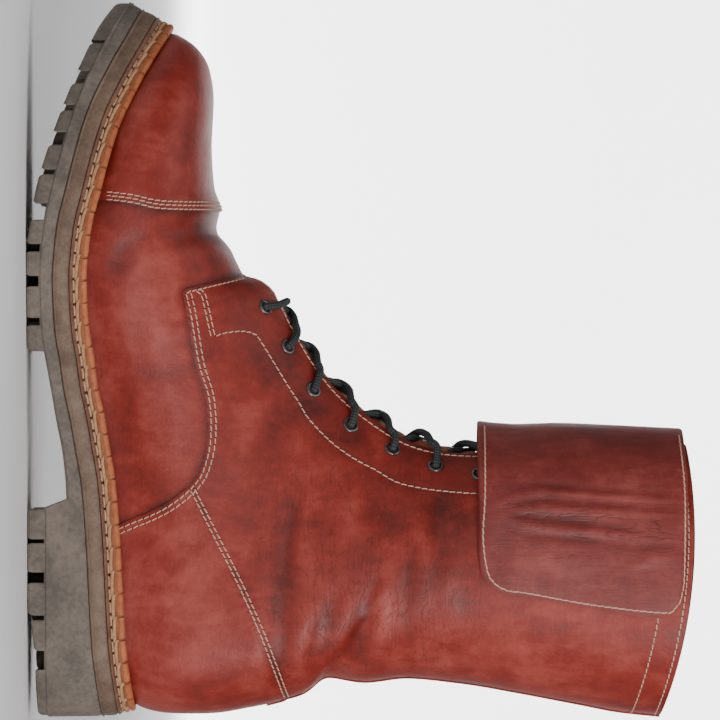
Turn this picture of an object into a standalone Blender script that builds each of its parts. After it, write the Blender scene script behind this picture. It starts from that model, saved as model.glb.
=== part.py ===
# Lace-up boot for the left foot, standing empty on its sole.
# Lengths in metres. X runs to the toe, Y to the outer side, Z up.
import math

import bmesh
import bpy
import numpy as np

# Overall sizes
LENGTH = 0.316
HEIGHT = 0.292
BALL_WIDTH = 0.112

# Heights of the sole
TOE_RISE = 0.050
HEEL_LIFT_EMBED = 0.0010
HEEL_GROOVE_FLOOR = 0.0075
HEEL_BREAST = 0.0955
LUG_SIDE_INSET = 0.0004
LUG_DEPTH = 0.0200
LUG_SHARE = 0.32
STUD_LENGTH = 0.0120
STUD_WIDTH = 0.0220

# Layers above the rubber, measured at right angles to the sole
MIDSOLE_TOP = 0.0075
WELT_EDGE = 0.0084
WELT_TOP = 0.0102
WELT_BEVEL = 0.0026
SEAT_INSET = 0.0128
FOOT_GAP = 0.0003
BRAID_WIDTH = 0.0038
BRAID_HEIGHT = 0.0050
INSOLE_TOP = 0.0130
INSOLE_SIDE_GAP = 0.0014

# Leather
WALL = 0.0022
OVERLAY = 0.0012
OVERLAY_GAP = 0.00005
TONGUE_THICKNESS = 0.0022
TONGUE_GAP = 0.0013
TONGUE_REACH = 0.0360
TONGUE_SWELL = 0.0014
FLAP_THICKNESS = 0.0022

# Eyelets and lace
EYELET_INSET = 0.0110
EYELET_RADIUS = 0.00375
EYELET_BORE = 0.0023
EYELET_BARREL = 0.0029
EYELET_RISE = 0.0007
EYELET_HOLE = 0.0033
EYELET_SIDES = 8
EYELET_GAP = 0.0002
EYELET_TAIL = 0.0003
OVERLAY_START = 0.0004
EYELET_LIP = 0.0004
BORE_REACH = 0.006
LACE_SHOULDER = 0.0025
LACE_FIRST_DROP = 0.0006
LACE_SECOND_DROP = 0.0022
LEAN_DEPTH = 0.012
HEEL_CORNER = 0.004
RIDGE_MARGIN = 0.0005
SOLE_STEP = 0.0003
LEAN_SHARE = 0.7
CAP_CUT_FRONT = 1.1
CAP_CUT_REAR = 0.68
CAP_CUT_TOP = 0.5
EYESTAY_COLUMNS = 4
LACE_TUCK = 0.0036
LACE_LOW = 0.0012
LACE_RADIUS = 0.0016
LACE_CLEARANCE = 0.0008
LACE_SIDES = 5

# Outline of the tread from above: share of length, shares of ball width
PLAN = [
    # along, outer, inner
    (0.008, 0.120, -0.120),
    (0.035, 0.232, -0.232),
    (0.085, 0.313, -0.313),
    (0.160, 0.339, -0.338),
    (0.260, 0.339, -0.317),
    (0.360, 0.346, -0.281),
    (0.460, 0.391, -0.281),
    (0.560, 0.473, -0.353),
    (0.660, 0.536, -0.433),
    (0.750, 0.529, -0.455),
    (0.840, 0.442, -0.420),
    (0.905, 0.335, -0.365),
    (0.960, 0.190, -0.272),
    (0.989, 0.060, -0.178),
]
TOE_TIP_SIDE = -0.0625
HEEL_TIP_SIDE = 0.0

# Side view of the sole: share of length, shares of toe rise, lean in degrees
SIDE = [
    # along, core, top, lean
    (0.000, 0.370, 0.638, -2.0),
    (0.095, 0.366, 0.564, -3.0),
    (0.160, 0.362, 0.540, -3.0),
    (0.237, 0.358, 0.516, -3.0),
    (0.326, 0.340, 0.470, -5.0),
    (0.370, 0.312, 0.422, -6.0),
    (0.413, 0.260, 0.376, -6.0),
    (0.456, 0.214, 0.320, -5.0),
    (0.498, 0.168, 0.286, -4.0),
    (0.528, 0.132, 0.254, -3.0),
    (0.568, 0.116, 0.234, -1.0),
    (0.611, 0.112, 0.228, 1.0),
    (0.654, 0.126, 0.246, 4.0),
    (0.696, 0.164, 0.280, 8.0),
    (0.744, 0.228, 0.350, 12.0),
    (0.798, 0.318, 0.430, 16.0),
    (0.852, 0.422, 0.530, 20.0),
    (0.916, 0.590, 0.710, 22.0),
    (0.967, 0.750, 0.880, 23.0),
    (1.000, 0.870, 0.990, 24.0),
]

# Underside of the lugs: share of length, share of toe rise
TREAD = [
    # along, low
    (0.000, 0.078),
    (0.094, 0.060),
    (0.135, 0.030),
    (0.158, 0.000),
    (0.310, 0.000),
    (0.505, 0.012),
    (0.526, 0.000),
    (0.648, 0.000),
    (0.680, 0.030),
    (0.731, 0.084),
    (0.798, 0.204),
    (0.852, 0.322),
    (0.916, 0.486),
    (0.960, 0.610),
    (1.000, 0.770),
]

# Lugs of the edge: where each begins and ends along the length
EDGE_LUGS = [
    # rear, front
    (0.510, 0.547),
    (0.556, 0.601),
    (0.614, 0.649),
    (0.658, 0.693),
    (0.714, 0.756),
    (0.761, 0.797),
    (0.813, 0.845),
    (0.851, 0.883),
    (0.899, 0.940),
]
HEEL_LUGS = [
    # rear, front
    (0.094, 0.138),
    (0.143, 0.190),
    (0.203, 0.245),
    (0.249, 0.292),
]
TOE_LUG_START = 0.943
HEEL_LUG_END = 0.068
CENTRE_STUDS = [0.565, 0.630, 0.700, 0.770, 0.840, 0.130, 0.215]

# Distances from the edge of the sole: to the upper, to the middle of the braid
FEATHER = [
    # along, inset, braid
    (0.000, 0.0072, 0.0028),
    (0.200, 0.0074, 0.0030),
    (0.350, 0.0084, 0.0042),
    (0.850, 0.0090, 0.0042),
    (0.930, 0.0090, 0.0031),
    (1.000, 0.0088, 0.0016),
]

# Sections of the upper from the toe to the collar.
# foot and top are places in the side view, as shares of length and height.
# widest is a share of the way from foot to top; out and in are shares of ball
# width; round is 0 for a wall that starts upright and 1 for a closed back;
# low and high are the fullness of the two bends; gap is half the width of the lacing; bow lifts the middle.
SECTIONS = [
    # foot, foot_z, top, top_z, ridge, widest, out, in, round, low, high, gap, bow
    (0.9485, 0.0000, 0.9500, 0.203, -0.062, 0.50, -0.022, -0.101, 0.60, 0.55, 0.55, 0.002, 0.000),
    (0.9430, 0.0000, 0.9515, 0.217, -0.062, 0.42, 0.026, -0.150, 0.50, 0.60, 0.60, 0.003, 0.000),
    (0.9290, 0.0000, 0.9460, 0.231, -0.062, 0.38, 0.102, -0.225, 0.40, 0.60, 0.62, 0.004, 0.000),
    (0.9080, 0.0000, 0.9310, 0.252, -0.062, 0.36, 0.200, -0.297, 0.30, 0.60, 0.64, 0.006, 0.000),
    (0.8800, 0.0000, 0.9030, 0.269, -0.060, 0.34, 0.300, -0.350, 0.25, 0.60, 0.64, 0.007, 0.000),
    (0.8450, 0.0000, 0.8600, 0.275, -0.058, 0.34, 0.375, -0.378, 0.20, 0.58, 0.64, 0.008, 0.000),
    (0.7980, 0.0000, 0.7980, 0.272, -0.055, 0.33, 0.445, -0.402, 0.15, 0.56, 0.62, 0.009, 0.000),
    (0.7500, 0.0000, 0.7400, 0.276, -0.052, 0.32, 0.482, -0.414, 0.15, 0.56, 0.60, 0.009, 0.000),
    (0.7230, 0.0000, 0.7060, 0.288, -0.050, 0.32, 0.490, -0.414, 0.15, 0.56, 0.60, 0.009, 0.000),
    (0.6850, 0.0000, 0.6780, 0.286, -0.048, 0.32, 0.490, -0.408, 0.15, 0.56, 0.58, 0.009, 0.000),
    (0.6260, 0.0000, 0.6460, 0.308, -0.044, 0.33, 0.474, -0.384, 0.15, 0.56, 0.56, 0.009, 0.000),
    (0.5600, 0.0000, 0.6140, 0.326, -0.040, 0.34, 0.444, -0.350, 0.15, 0.58, 0.55, 0.009, 0.000),
    (0.4950, 0.0000, 0.5830, 0.378, -0.036, 0.35, 0.408, -0.324, 0.15, 0.58, 0.54, 0.010, 0.000),
    (0.4200, 0.0000, 0.5450, 0.404, -0.032, 0.36, 0.376, -0.306, 0.15, 0.60, 0.54, 0.011, 0.000),
    (0.3370, 0.0000, 0.5020, 0.435, -0.026, 0.38, 0.352, -0.300, 0.15, 0.62, 0.55, 0.012, 0.000),
    (0.2460, 0.0000, 0.4640, 0.472, -0.020, 0.40, 0.336, -0.306, 0.15, 0.64, 0.55, 0.013, 0.000),
    (0.1570, 0.0000, 0.4400, 0.503, -0.014, 0.42, 0.330, -0.316, 0.30, 0.66, 0.56, 0.013, 0.000),
    (0.0940, 0.0000, 0.4220, 0.530, -0.010, 0.44, 0.330, -0.322, 0.52, 0.68, 0.57, 0.013, 0.000),
    (0.0480, 0.0000, 0.4080, 0.553, -0.006, 0.46, 0.332, -0.328, 0.80, 0.70, 0.58, 0.013, 0.000),
    (0.0205, 0.1560, 0.3960, 0.575, -0.002, 0.47, 0.334, -0.332, 1.00, 0.72, 0.58, 0.013, 0.000),
    (0.0080, 0.1910, 0.3870, 0.600, 0.000, 0.48, 0.336, -0.336, 1.00, 0.72, 0.58, 0.013, 0.000),
    (0.0070, 0.2640, 0.3780, 0.628, 0.000, 0.49, 0.340, -0.340, 1.00, 0.70, 0.58, 0.012, 0.000),
    (0.0165, 0.3360, 0.3740, 0.655, 0.000, 0.50, 0.344, -0.344, 1.00, 0.66, 0.58, 0.012, 0.000),
    (0.0340, 0.4100, 0.3720, 0.682, 0.000, 0.50, 0.348, -0.348, 1.00, 0.62, 0.58, 0.012, 0.000),
    (0.0580, 0.4540, 0.3710, 0.705, 0.000, 0.50, 0.352, -0.352, 1.00, 0.60, 0.58, 0.011, 0.000),
    (0.0515, 0.5080, 0.3710, 0.728, 0.000, 0.50, 0.358, -0.358, 1.00, 0.59, 0.58, 0.011, 0.000),
    (0.0575, 0.5700, 0.3730, 0.755, 0.000, 0.50, 0.364, -0.364, 1.00, 0.58, 0.58, 0.011, 0.000),
    (0.0500, 0.6550, 0.3770, 0.795, 0.000, 0.50, 0.374, -0.374, 1.00, 0.58, 0.58, 0.011, 0.002),
    (0.0370, 0.7380, 0.3800, 0.845, 0.000, 0.50, 0.384, -0.384, 1.00, 0.58, 0.58, 0.011, 0.004),
    (0.0210, 0.8290, 0.3820, 0.900, 0.000, 0.50, 0.392, -0.392, 1.00, 0.58, 0.58, 0.011, 0.008),
    (0.0100, 0.8920, 0.3830, 0.948, 0.000, 0.50, 0.398, -0.398, 1.00, 0.58, 0.58, 0.011, 0.014),
    (0.0040, 0.9530, 0.3840, 0.990, 0.000, 0.50, 0.402, -0.402, 1.00, 0.58, 0.58, 0.011, 0.026),
]
TOE_CAP_ROW = 8
THROAT_ROW = 11
HEEL_ROW = 19
LAST_ROW = 31

# Eyelets in the side view: shares of length and height
EYELETS = [
    # along, up
    (0.572, 0.357),
    (0.517, 0.391),
    (0.457, 0.430),
    (0.408, 0.486),
    (0.375, 0.549),
    (0.351, 0.614),
    (0.340, 0.680),
]

# Rear edge of the counter and its seam, shares of length and height
COUNTER_SEAM = [
    # along, up
    (0.319, 0.249),
    (0.255, 0.284),
    (0.191, 0.318),
    (0.130, 0.348),
    (0.070, 0.374),
    (-0.030, 0.410),
]
COUNTER_FRONT = [
    # along, up
    (0.268, 0.150),
    (0.274, 0.164),
    (0.283, 0.187),
    (0.293, 0.209),
    (0.308, 0.233),
]

# Edge of the eyestay away from the lacing, shares of length and height
EYESTAY_EDGE = [
    # along, up
    (0.596, 0.269),
    (0.532, 0.281),
    (0.537, 0.305),
    (0.536, 0.330),
    (0.524, 0.351),
    (0.468, 0.388),
    (0.416, 0.423),
    (0.385, 0.455),
    (0.358, 0.494),
    (0.339, 0.535),
    (0.326, 0.576),
    (0.317, 0.617),
    (0.313, 0.675),
    (0.310, 0.820),
    (0.308, 1.020),
]

# Rear edge of the cuff flap: share of height, share of length
FLAP_EDGE = [
    # up, along
    (0.677, 0.234),
    (0.681, 0.205),
    (0.692, 0.186),
    (0.715, 0.177),
    (0.776, 0.168),
    (0.851, 0.156),
    (0.934, 0.144),
    (0.966, 0.147),
    (0.981, 0.160),
    (0.988, 0.185),
]
# Stand-off of the cuff flap in front: share of height, distance
FLAP_STAND = [
    # up, off
    (0.677, 0.0120),
    (0.780, 0.0100),
    (0.880, 0.0072),
    (0.990, 0.0046),
]
FLAP_FREE_STAND = 0.0014
FLAP_SEWN_STAND = 0.0005
FLAP_SPREAD = 0.62
FLAP_COLUMNS = 18


def table(rows, column, at):
    """Smooth curve without overshoot through one column of a table."""
    xs = np.array([row[0] for row in rows], float)
    ys = np.array([row[column] for row in rows], float)
    return smooth(xs, ys, at)


def smooth(xs, ys, at):
    at = np.clip(np.asarray(at, float), xs[0], xs[-1])
    step = np.diff(xs)
    rise = np.diff(ys) / step
    bend = np.zeros(len(xs))
    bend[0] = rise[0]
    bend[-1] = rise[-1]
    for i in range(1, len(xs) - 1):
        a, b = rise[i - 1], rise[i]
        if a * b > 0:
            wa = 2 * step[i] + step[i - 1]
            wb = step[i] + 2 * step[i - 1]
            bend[i] = (wa + wb) / (wa / a + wb / b)
    k = np.clip(np.searchsorted(xs, at, side="right") - 1, 0, len(xs) - 2)
    h = step[k]
    t = (at - xs[k]) / h
    return (
        (1 + 2 * t) * (1 - t) ** 2 * ys[k]
        + t * (1 - t) ** 2 * h * bend[k]
        + t * t * (3 - 2 * t) * ys[k + 1]
        + t * t * (t - 1) * h * bend[k + 1]
    )


def closed_curve(points, per_span):
    """Closed curve through the points, with equal counts in each span."""
    p = np.array(points, float)
    n = len(p)
    gaps = [math.sqrt(np.linalg.norm(p[(i + 1) % n] - p[i])) for i in range(n)]
    out = []
    for i in range(n):
        a, b = p[i], p[(i + 1) % n]
        before, after = p[i - 1], p[(i + 2) % n]
        g0, g1, g2 = gaps[i - 1], gaps[i], gaps[(i + 1) % n]
        ta = ((a - before) / g0 - (b - before) / (g0 + g1) + (b - a) / g1) * g1
        tb = ((b - a) / g1 - (after - a) / (g1 + g2) + (after - b) / g2) * g1
        for s in range(per_span):
            t = s / per_span
            out.append(
                (1 + 2 * t) * (1 - t) ** 2 * a
                + t * (1 - t) ** 2 * ta
                + t * t * (3 - 2 * t) * b
                + t * t * (t - 1) * tb
            )
    return np.array(out)


def plan_outline(per_span):
    """Outline of the tread, from the heel along the outer side and back."""
    outer = [(LENGTH * row[0], BALL_WIDTH * row[1]) for row in PLAN]
    inner = [(LENGTH * row[0], BALL_WIDTH * row[2]) for row in PLAN]
    points = [(0.0, BALL_WIDTH * HEEL_TIP_SIDE)] + outer
    points += [(LENGTH, BALL_WIDTH * TOE_TIP_SIDE)] + inner[::-1]
    return closed_curve(points, per_span)


def inward(ring, inset):
    """Outline moved inwards by a distance for each point."""
    ahead = np.roll(ring, -1, axis=0)
    behind = np.roll(ring, 1, axis=0)
    along = ahead - behind
    along /= np.linalg.norm(along, axis=1)[:, None]
    normal = np.stack([along[:, 1], -along[:, 0]], axis=1)
    return ring + normal * np.asarray(inset, float).reshape(-1, 1)


def tread_z(x):
    return TOE_RISE * table(TREAD, 1, np.asarray(x) / LENGTH)


def core_z(x):
    return TOE_RISE * table(SIDE, 1, np.asarray(x) / LENGTH)


def stack(ring, inset, rise):
    """Ring of a sole layer: inset in plan, raised at right angles to the sole."""
    share = ring[:, 0] / LENGTH
    lean = np.radians(table(SIDE, 3, share))
    top = TOE_RISE * table(SIDE, 2, share)
    moved = inward(ring, np.broadcast_to(inset, len(ring)))
    side = np.maximum(top - tread_z(ring[:, 0]), 0.0)
    back = np.minimum(side, LEAN_DEPTH) * np.tan(lean * LEAN_SHARE)
    x = moved[:, 0] - back - rise * np.sin(lean)
    z = top + rise * np.cos(lean)
    return np.stack([x, moved[:, 1], z], axis=1)


def feather_inset(ring):
    return table(FEATHER, 1, ring[:, 0] / LENGTH)


def feather_halves():
    """Foot of the upper on both sides, from the heel to the toe."""
    ring = plan_outline(24)
    foot = stack(ring, feather_inset(ring), WELT_TOP + FOOT_GAP)
    half = len(ring) // 2
    outer = foot[: half + 1]
    inner = np.roll(foot, -half, axis=0)[: half + 1][::-1]
    return outer, inner


FOOT_OUT, FOOT_IN = feather_halves()


def foot_at(x):
    """Side places and height of the foot of the upper at a length."""
    y_out = np.interp(x, FOOT_OUT[:, 0], FOOT_OUT[:, 1])
    y_in = np.interp(x, FOOT_IN[:, 0], FOOT_IN[:, 1])
    z = np.interp(x, FOOT_OUT[:, 0], FOOT_OUT[:, 2])
    return y_out, y_in, z


def bend_of(p0, p1, p2, p3, t):
    t = t[:, None]
    return (
        (1 - t) ** 3 * p0
        + 3 * t * (1 - t) ** 2 * p1
        + 3 * t * t * (1 - t) * p2
        + t**3 * p3
    )


def section_row(v):
    """Sizes of the section at a row number, whole or between rows."""
    places = np.arange(len(SECTIONS), dtype=float)
    data = np.array(SECTIONS, float)
    return [float(smooth(places, data[:, c], v)) for c in range(data.shape[1])]


def half_section(v, side, counts):
    """Points of one side of a section, from the foot to the ridge.

    counts holds the pieces below the widest place, from there to the edge of
    the lacing, and from the edge to the ridge.
    """
    row = section_row(v)
    foot, foot_z, top, top_z, ridge, widest, out, inn, curl, low, high, gap, bow = row
    tx, tz = LENGTH * top, HEIGHT * top_z
    fx, fz = LENGTH * foot, HEIGHT * foot_z
    fy = 0.0
    if v < HEEL_ROW:
        y_out, y_in, fz = foot_at(fx)
        fy = y_out if side > 0 else -y_in
    centre = BALL_WIDTH * ridge * side
    wide = BALL_WIDTH * (out if side > 0 else -inn)
    reach = math.hypot(tx - fx, tz - fz)
    ux, uz = (tx - fx) / reach, (tz - fz) / reach
    dm = reach * widest
    p0 = np.array([0.0, fy])
    p1 = np.array([low * dm * (1 - curl), fy + low * (wide - fy) * curl])
    p2 = np.array([dm * (1 - low), wide])
    p3 = np.array([dm, wide])
    p4 = np.array([dm + high * (reach - dm), wide])
    p5 = np.array([reach, centre + high * (wide - centre)])
    p6 = np.array([reach, centre])
    fine = np.linspace(0, 1, 121)
    upper = bend_of(p3, p4, p5, p6, fine)
    length = np.concatenate([[0], np.cumsum(np.linalg.norm(np.diff(upper, axis=0), axis=1))])
    edge = np.interp(length[-1] - gap, length, fine)
    first = bend_of(p0, p1, p2, p3, np.linspace(0, 1, counts[0] + 1))
    second = bend_of(p3, p4, p5, p6, np.linspace(0, edge, counts[1] + 1))
    third = bend_of(p3, p4, p5, p6, np.linspace(edge, 1, counts[2] + 1))
    flat = np.concatenate([first, second[1:], third[1:]])
    share = flat[:, 0] / reach
    lifted = 4 * HEIGHT * bow * share * (1 - share)
    x = fx + flat[:, 0] * ux - lifted * uz
    z = fz + flat[:, 0] * uz + lifted * ux
    return np.stack([x, side * flat[:, 1], z], axis=1)


def whole_section(v, counts):
    """Section from the outer foot over the ridge to the inner foot."""
    outer = half_section(v, 1, counts)
    inner = half_section(v, -1, counts)
    return np.concatenate([outer, inner[::-1][1:]])


def surface(rows, counts):
    return np.array([whole_section(v, counts) for v in rows])


def normals_of(grid, rows):
    """Outward normals at the points of a grid of sections."""
    du = np.gradient(grid, axis=1)
    dv = np.gradient(grid, axis=0)
    for i, v in enumerate(rows):
        if v >= HEEL_ROW and np.allclose(grid[i, 0], grid[i, -1]):
            across = grid[i, 1] - grid[i, -2]
            du[i, 0] = across
            du[i, -1] = across
            joint = dv[i, 0] + dv[i, -1]
            dv[i, 0] = joint
            dv[i, -1] = joint
    n = np.cross(dv, du)
    n /= np.maximum(np.linalg.norm(n, axis=2), 1e-12)[:, :, None]
    return n


def mesh_object(name, verts, faces, material):
    mesh = bpy.data.meshes.new(name)
    mesh.from_pydata([tuple(float(c) for c in v) for v in verts], [], faces)
    bm = bmesh.new()
    bm.from_mesh(mesh)
    bmesh.ops.remove_doubles(bm, verts=bm.verts, dist=0.000001)
    bmesh.ops.recalc_face_normals(bm, faces=bm.faces)
    bm.to_mesh(mesh)
    bm.free()
    obj = bpy.data.objects.new(name, mesh)
    bpy.context.scene.collection.objects.link(obj)
    if material:
        mesh.materials.append(material)
    return obj


def shell(name, outside, inside, keep, material, joined=None):
    """Closed skin between two grids, over the cells that are kept.

    Both sides of a cell are cut along the same diagonal, so that a thin skin
    keeps its thickness and a piece laid on it keeps its distance.
    """
    rows, cols = outside.shape[:2]
    number = np.arange(rows * cols).reshape(rows, cols)
    if joined is not None:
        for i in joined:
            number[i, cols - 1] = number[i, 0]
    total = rows * cols
    faces = []
    edges = {}
    for i in range(rows - 1):
        for j in range(cols - 1):
            if not keep[i][j]:
                continue
            quad = [number[i, j], number[i, j + 1], number[i + 1, j + 1], number[i + 1, j]]
            quad = [int(q) for k, q in enumerate(quad) if q not in quad[:k]]
            for three in (quad[:3], quad[2:] + quad[:1]):
                if len(three) == 3:
                    faces.append(three)
                    faces.append([q + total for q in three[::-1]])
            for a, b in zip(quad, quad[1:] + quad[:1]):
                edges[(a, b)] = True
    for a, b in edges:
        if (b, a) not in edges:
            faces.append([b, a, a + total, b + total])
    verts = np.concatenate([outside.reshape(-1, 3), inside.reshape(-1, 3)])
    used = sorted({v for face in faces for v in face})
    fresh = {old: new for new, old in enumerate(used)}
    faces = [[fresh[v] for v in face] for face in faces]
    return mesh_object(name, verts[used], faces, material)


def ring_solid(name, rings, material, hollow=False):
    """Solid through rings of equal count, capped across or closed as a band.

    Every band and cap is cut into triangles in one way, so that two layers
    which share a ring also share its faces.
    """
    n = len(rings[0])
    verts = np.concatenate(rings)
    faces = []
    last = len(rings) if hollow else len(rings) - 1
    for r in range(last):
        s = (r + 1) % len(rings)
        low, high = r * n, s * n
        if (rings[r][0, 2], rings[r][0, 0]) > (rings[s][0, 2], rings[s][0, 0]):
            low, high = high, low
        for i in range(n):
            j = (i + 1) % n
            faces.append([low + i, low + j, high + j])
            faces.append([low + i, high + j, high + i])
    if not hollow:
        for base in (0, (len(rings) - 1) * n):
            for i in range(n // 2):
                a, b = i, i + 1
                c, d = n - i - 1, (n - i) % n
                for three in ((a, b, c), (a, c, d)):
                    if len(set(three)) == 3:
                        faces.append([base + q for q in three])
    return mesh_object(name, verts, faces, material)


def prism(name, outline, low, high):
    """Upright block over an outline, with heights that may vary."""
    n = len(outline)
    xs = np.array([p[0] for p in outline])
    lows = low(xs) if callable(low) else np.full(n, low)
    highs = high(xs) if callable(high) else np.full(n, high)
    verts = [(p[0], p[1], z) for p, z in zip(outline, lows)]
    verts += [(p[0], p[1], z) for p, z in zip(outline, highs)]
    faces = [list(range(n)), list(range(n, 2 * n))]
    faces += [[i, (i + 1) % n, (i + 1) % n + n, i + n] for i in range(n)]
    return mesh_object(name, verts, faces, None)


def slab(name, outline, low, high):
    """Block with its outline in the side view, between two side distances."""
    n = len(outline)
    verts = [(p[0], low, p[1]) for p in outline] + [(p[0], high, p[1]) for p in outline]
    faces = [list(range(n)), list(range(n, 2 * n))]
    faces += [[i, (i + 1) % n, (i + 1) % n + n, i + n] for i in range(n)]
    return mesh_object(name, verts, faces, None)


def drop(obj):
    bpy.data.objects.remove(obj, do_unlink=True)


def joined(name, objects):
    """One object from several that stay apart."""
    verts = []
    faces = []
    for obj in objects:
        base = len(verts)
        verts += [tuple(v.co) for v in obj.data.vertices]
        faces += [[base + i for i in p.vertices] for p in obj.data.polygons]
    for obj in objects:
        drop(obj)
    return mesh_object(name, verts, faces, None)


def combine(obj, other, operation):
    """Exact union, difference or intersection, kept as a plain mesh."""
    modifier = obj.modifiers.new("cut", "BOOLEAN")
    modifier.operation = operation
    modifier.solver = "EXACT"
    modifier.object = other
    graph = bpy.context.evaluated_depsgraph_get()
    graph.update()
    mesh = bpy.data.meshes.new_from_object(obj.evaluated_get(graph))
    obj.modifiers.remove(modifier)
    bm = bmesh.new()
    bm.from_mesh(mesh)
    bmesh.ops.remove_doubles(bm, verts=bm.verts, dist=0.000004)
    bmesh.ops.dissolve_degenerate(bm, edges=bm.edges, dist=0.000004)
    bm.to_mesh(mesh)
    bm.free()
    obj.data = mesh
    drop(other)
    return obj


def finish(obj, angle=35.0, round_all=False):
    """Place in the frame, with smooth shading on bends and sharp edges kept."""
    mesh = obj.data
    for v in mesh.vertices:
        v.co.x -= FRAME_X
        v.co.y -= FRAME_Y
    for p in mesh.polygons:
        p.use_smooth = True
    if not round_all:
        bm = bmesh.new()
        bm.from_mesh(mesh)
        limit = math.radians(angle)
        for e in bm.edges:
            if len(e.link_faces) == 2 and e.calc_face_angle(0.0) > limit:
                e.smooth = False
        bm.to_mesh(mesh)
        bm.free()
    obj.parent = ROOT
    return obj


def material(name, colour, roughness, metallic=0.0):
    m = bpy.data.materials.new(name)
    m.use_nodes = True
    shader = m.node_tree.nodes["Principled BSDF"]
    shader.inputs["Base Color"].default_value = (*colour, 1.0)
    shader.inputs["Roughness"].default_value = roughness
    shader.inputs["Metallic"].default_value = metallic
    m.diffuse_color = (*colour, 1.0)
    return m


for thing in list(bpy.data.objects):
    bpy.data.objects.remove(thing, do_unlink=True)

RING = plan_outline(2)
FRAME_X = LENGTH / 2
FRAME_Y = (RING[:, 1].max() + RING[:, 1].min()) / 2

ROOT = bpy.data.objects.new("lace_up_boot", None)
bpy.context.scene.collection.objects.link(ROOT)

RUBBER = material("rubber", (0.115, 0.100, 0.090), 0.75)
MIDSOLE = material("midsole_leather", (0.270, 0.190, 0.140), 0.70)
WELT = material("welt_leather", (0.230, 0.080, 0.055), 0.60)
BRAID = material("braid_cord", (0.520, 0.180, 0.080), 0.70)
LEATHER = material("upper_leather", (0.300, 0.055, 0.040), 0.42)
FLAP_LEATHER = material("flap_leather", (0.230, 0.038, 0.040), 0.45)
TONGUE_LEATHER = material("tongue_leather", (0.330, 0.120, 0.060), 0.60)
INSOLE = material("insole_leather", (0.480, 0.320, 0.190), 0.75)
METAL = material("eyelet_metal", (0.260, 0.270, 0.290), 0.35, 1.0)
LACE = material("lace_cord", (0.040, 0.048, 0.048), 0.85)


def edge_point(x, side, inset):
    """Point of the tread outline at a length, moved inwards by a distance."""
    fine = inward(plan_outline(12), np.full(12 * 2 * (len(PLAN) + 1), inset))
    half = len(fine) // 2
    part = fine[: half + 1] if side > 0 else np.roll(fine, -half, axis=0)[: half + 1][::-1]
    return (x, float(np.interp(x, part[:, 0], part[:, 1])))


def lug_inside(x, side):
    """Inner corner of a lug of the edge, clear of the middle."""
    out, inn = edge_point(x, 1, 0.0)[1], edge_point(x, -1, 0.0)[1]
    depth = min(LUG_DEPTH, LUG_SHARE * (out - inn))
    return (x, (out if side > 0 else inn) - side * depth)


def outsole():
    """Rubber sole with heel and lugs, in one piece."""
    low = np.stack([RING[:, 0], RING[:, 1], core_z(RING[:, 0])], axis=1)
    body = ring_solid("outsole", [low, stack(RING, 0.0, 0.0)], None)
    edge = inward(RING, np.full(len(RING), LUG_SIDE_INSET))
    after = [i for i, p in enumerate(edge) if p[0] >= HEEL_BREAST - HEEL_CORNER]
    start = [tuple(p) for p in edge[: after[0]]]
    end = [tuple(p) for p in edge[after[-1] + 1 :]]
    corner_out = edge_point(HEEL_BREAST, 1, LUG_SIDE_INSET)
    corner_in = edge_point(HEEL_BREAST, -1, LUG_SIDE_INSET)
    heel = start + [corner_out, corner_in] + end
    block = prism("heel", heel, HEEL_GROOVE_FLOOR, lambda x: core_z(x) + HEEL_LIFT_EMBED)
    body = combine(body, block, "UNION")
    lugs = []
    for rear, front in EDGE_LUGS + HEEL_LUGS:
        in_heel = front * LENGTH < HEEL_BREAST + HEEL_CORNER
        for side in (1, -1):
            r, f = rear * LENGTH, front * LENGTH
            mid = (r + f) / 2
            outline = [edge_point(x, side, LUG_SIDE_INSET * 2) for x in (r, mid, f)]
            outline += [lug_inside(x, side) for x in (f, r)]
            high = lambda x: core_z(x) + HEEL_LIFT_EMBED
            if in_heel:
                high = HEEL_GROOVE_FLOOR + HEEL_LIFT_EMBED
            lugs.append(prism("lug", outline, tread_z, high))
    tip = inward(RING, np.full(len(RING), LUG_SIDE_INSET * 2))
    toe = [tuple(p) for p in tip if p[0] > TOE_LUG_START * LENGTH + 0.002]
    start = TOE_LUG_START * LENGTH
    toe = [edge_point(start, 1, LUG_SIDE_INSET * 2)] + toe + [edge_point(start, -1, LUG_SIDE_INSET * 2)]
    lugs.append(prism("lug", toe, tread_z, lambda x: core_z(x) + HEEL_LIFT_EMBED))
    end = HEEL_LUG_END * LENGTH
    rear = [tuple(p) for p in np.roll(tip, 8, axis=0) if p[0] < end - 0.002]
    rear = rear + [edge_point(end, 1, LUG_SIDE_INSET * 2), edge_point(end, -1, LUG_SIDE_INSET * 2)]
    lugs.append(prism("lug", rear, tread_z, HEEL_GROOVE_FLOOR + HEEL_LIFT_EMBED))
    for share in CENTRE_STUDS:
        x = share * LENGTH
        middle = (edge_point(x, 1, 0.0)[1] + edge_point(x, -1, 0.0)[1]) / 2
        half, wide = STUD_LENGTH / 2, STUD_WIDTH / 2
        outline = [
            (x - half, middle - wide * 0.6),
            (x - half, middle + wide * 0.6),
            (x, middle + wide),
            (x + half, middle + wide * 0.6),
            (x + half, middle - wide * 0.6),
            (x, middle - wide),
        ]
        high = HEEL_GROOVE_FLOOR + HEEL_LIFT_EMBED if share < 0.4 else lambda x: core_z(x) + HEEL_LIFT_EMBED
        lugs.append(prism("lug", outline, tread_z, high))
    body = combine(body, joined("lugs", lugs), "UNION")
    body.data.materials.clear()
    body.data.materials.append(RUBBER)
    return finish(body)


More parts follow.
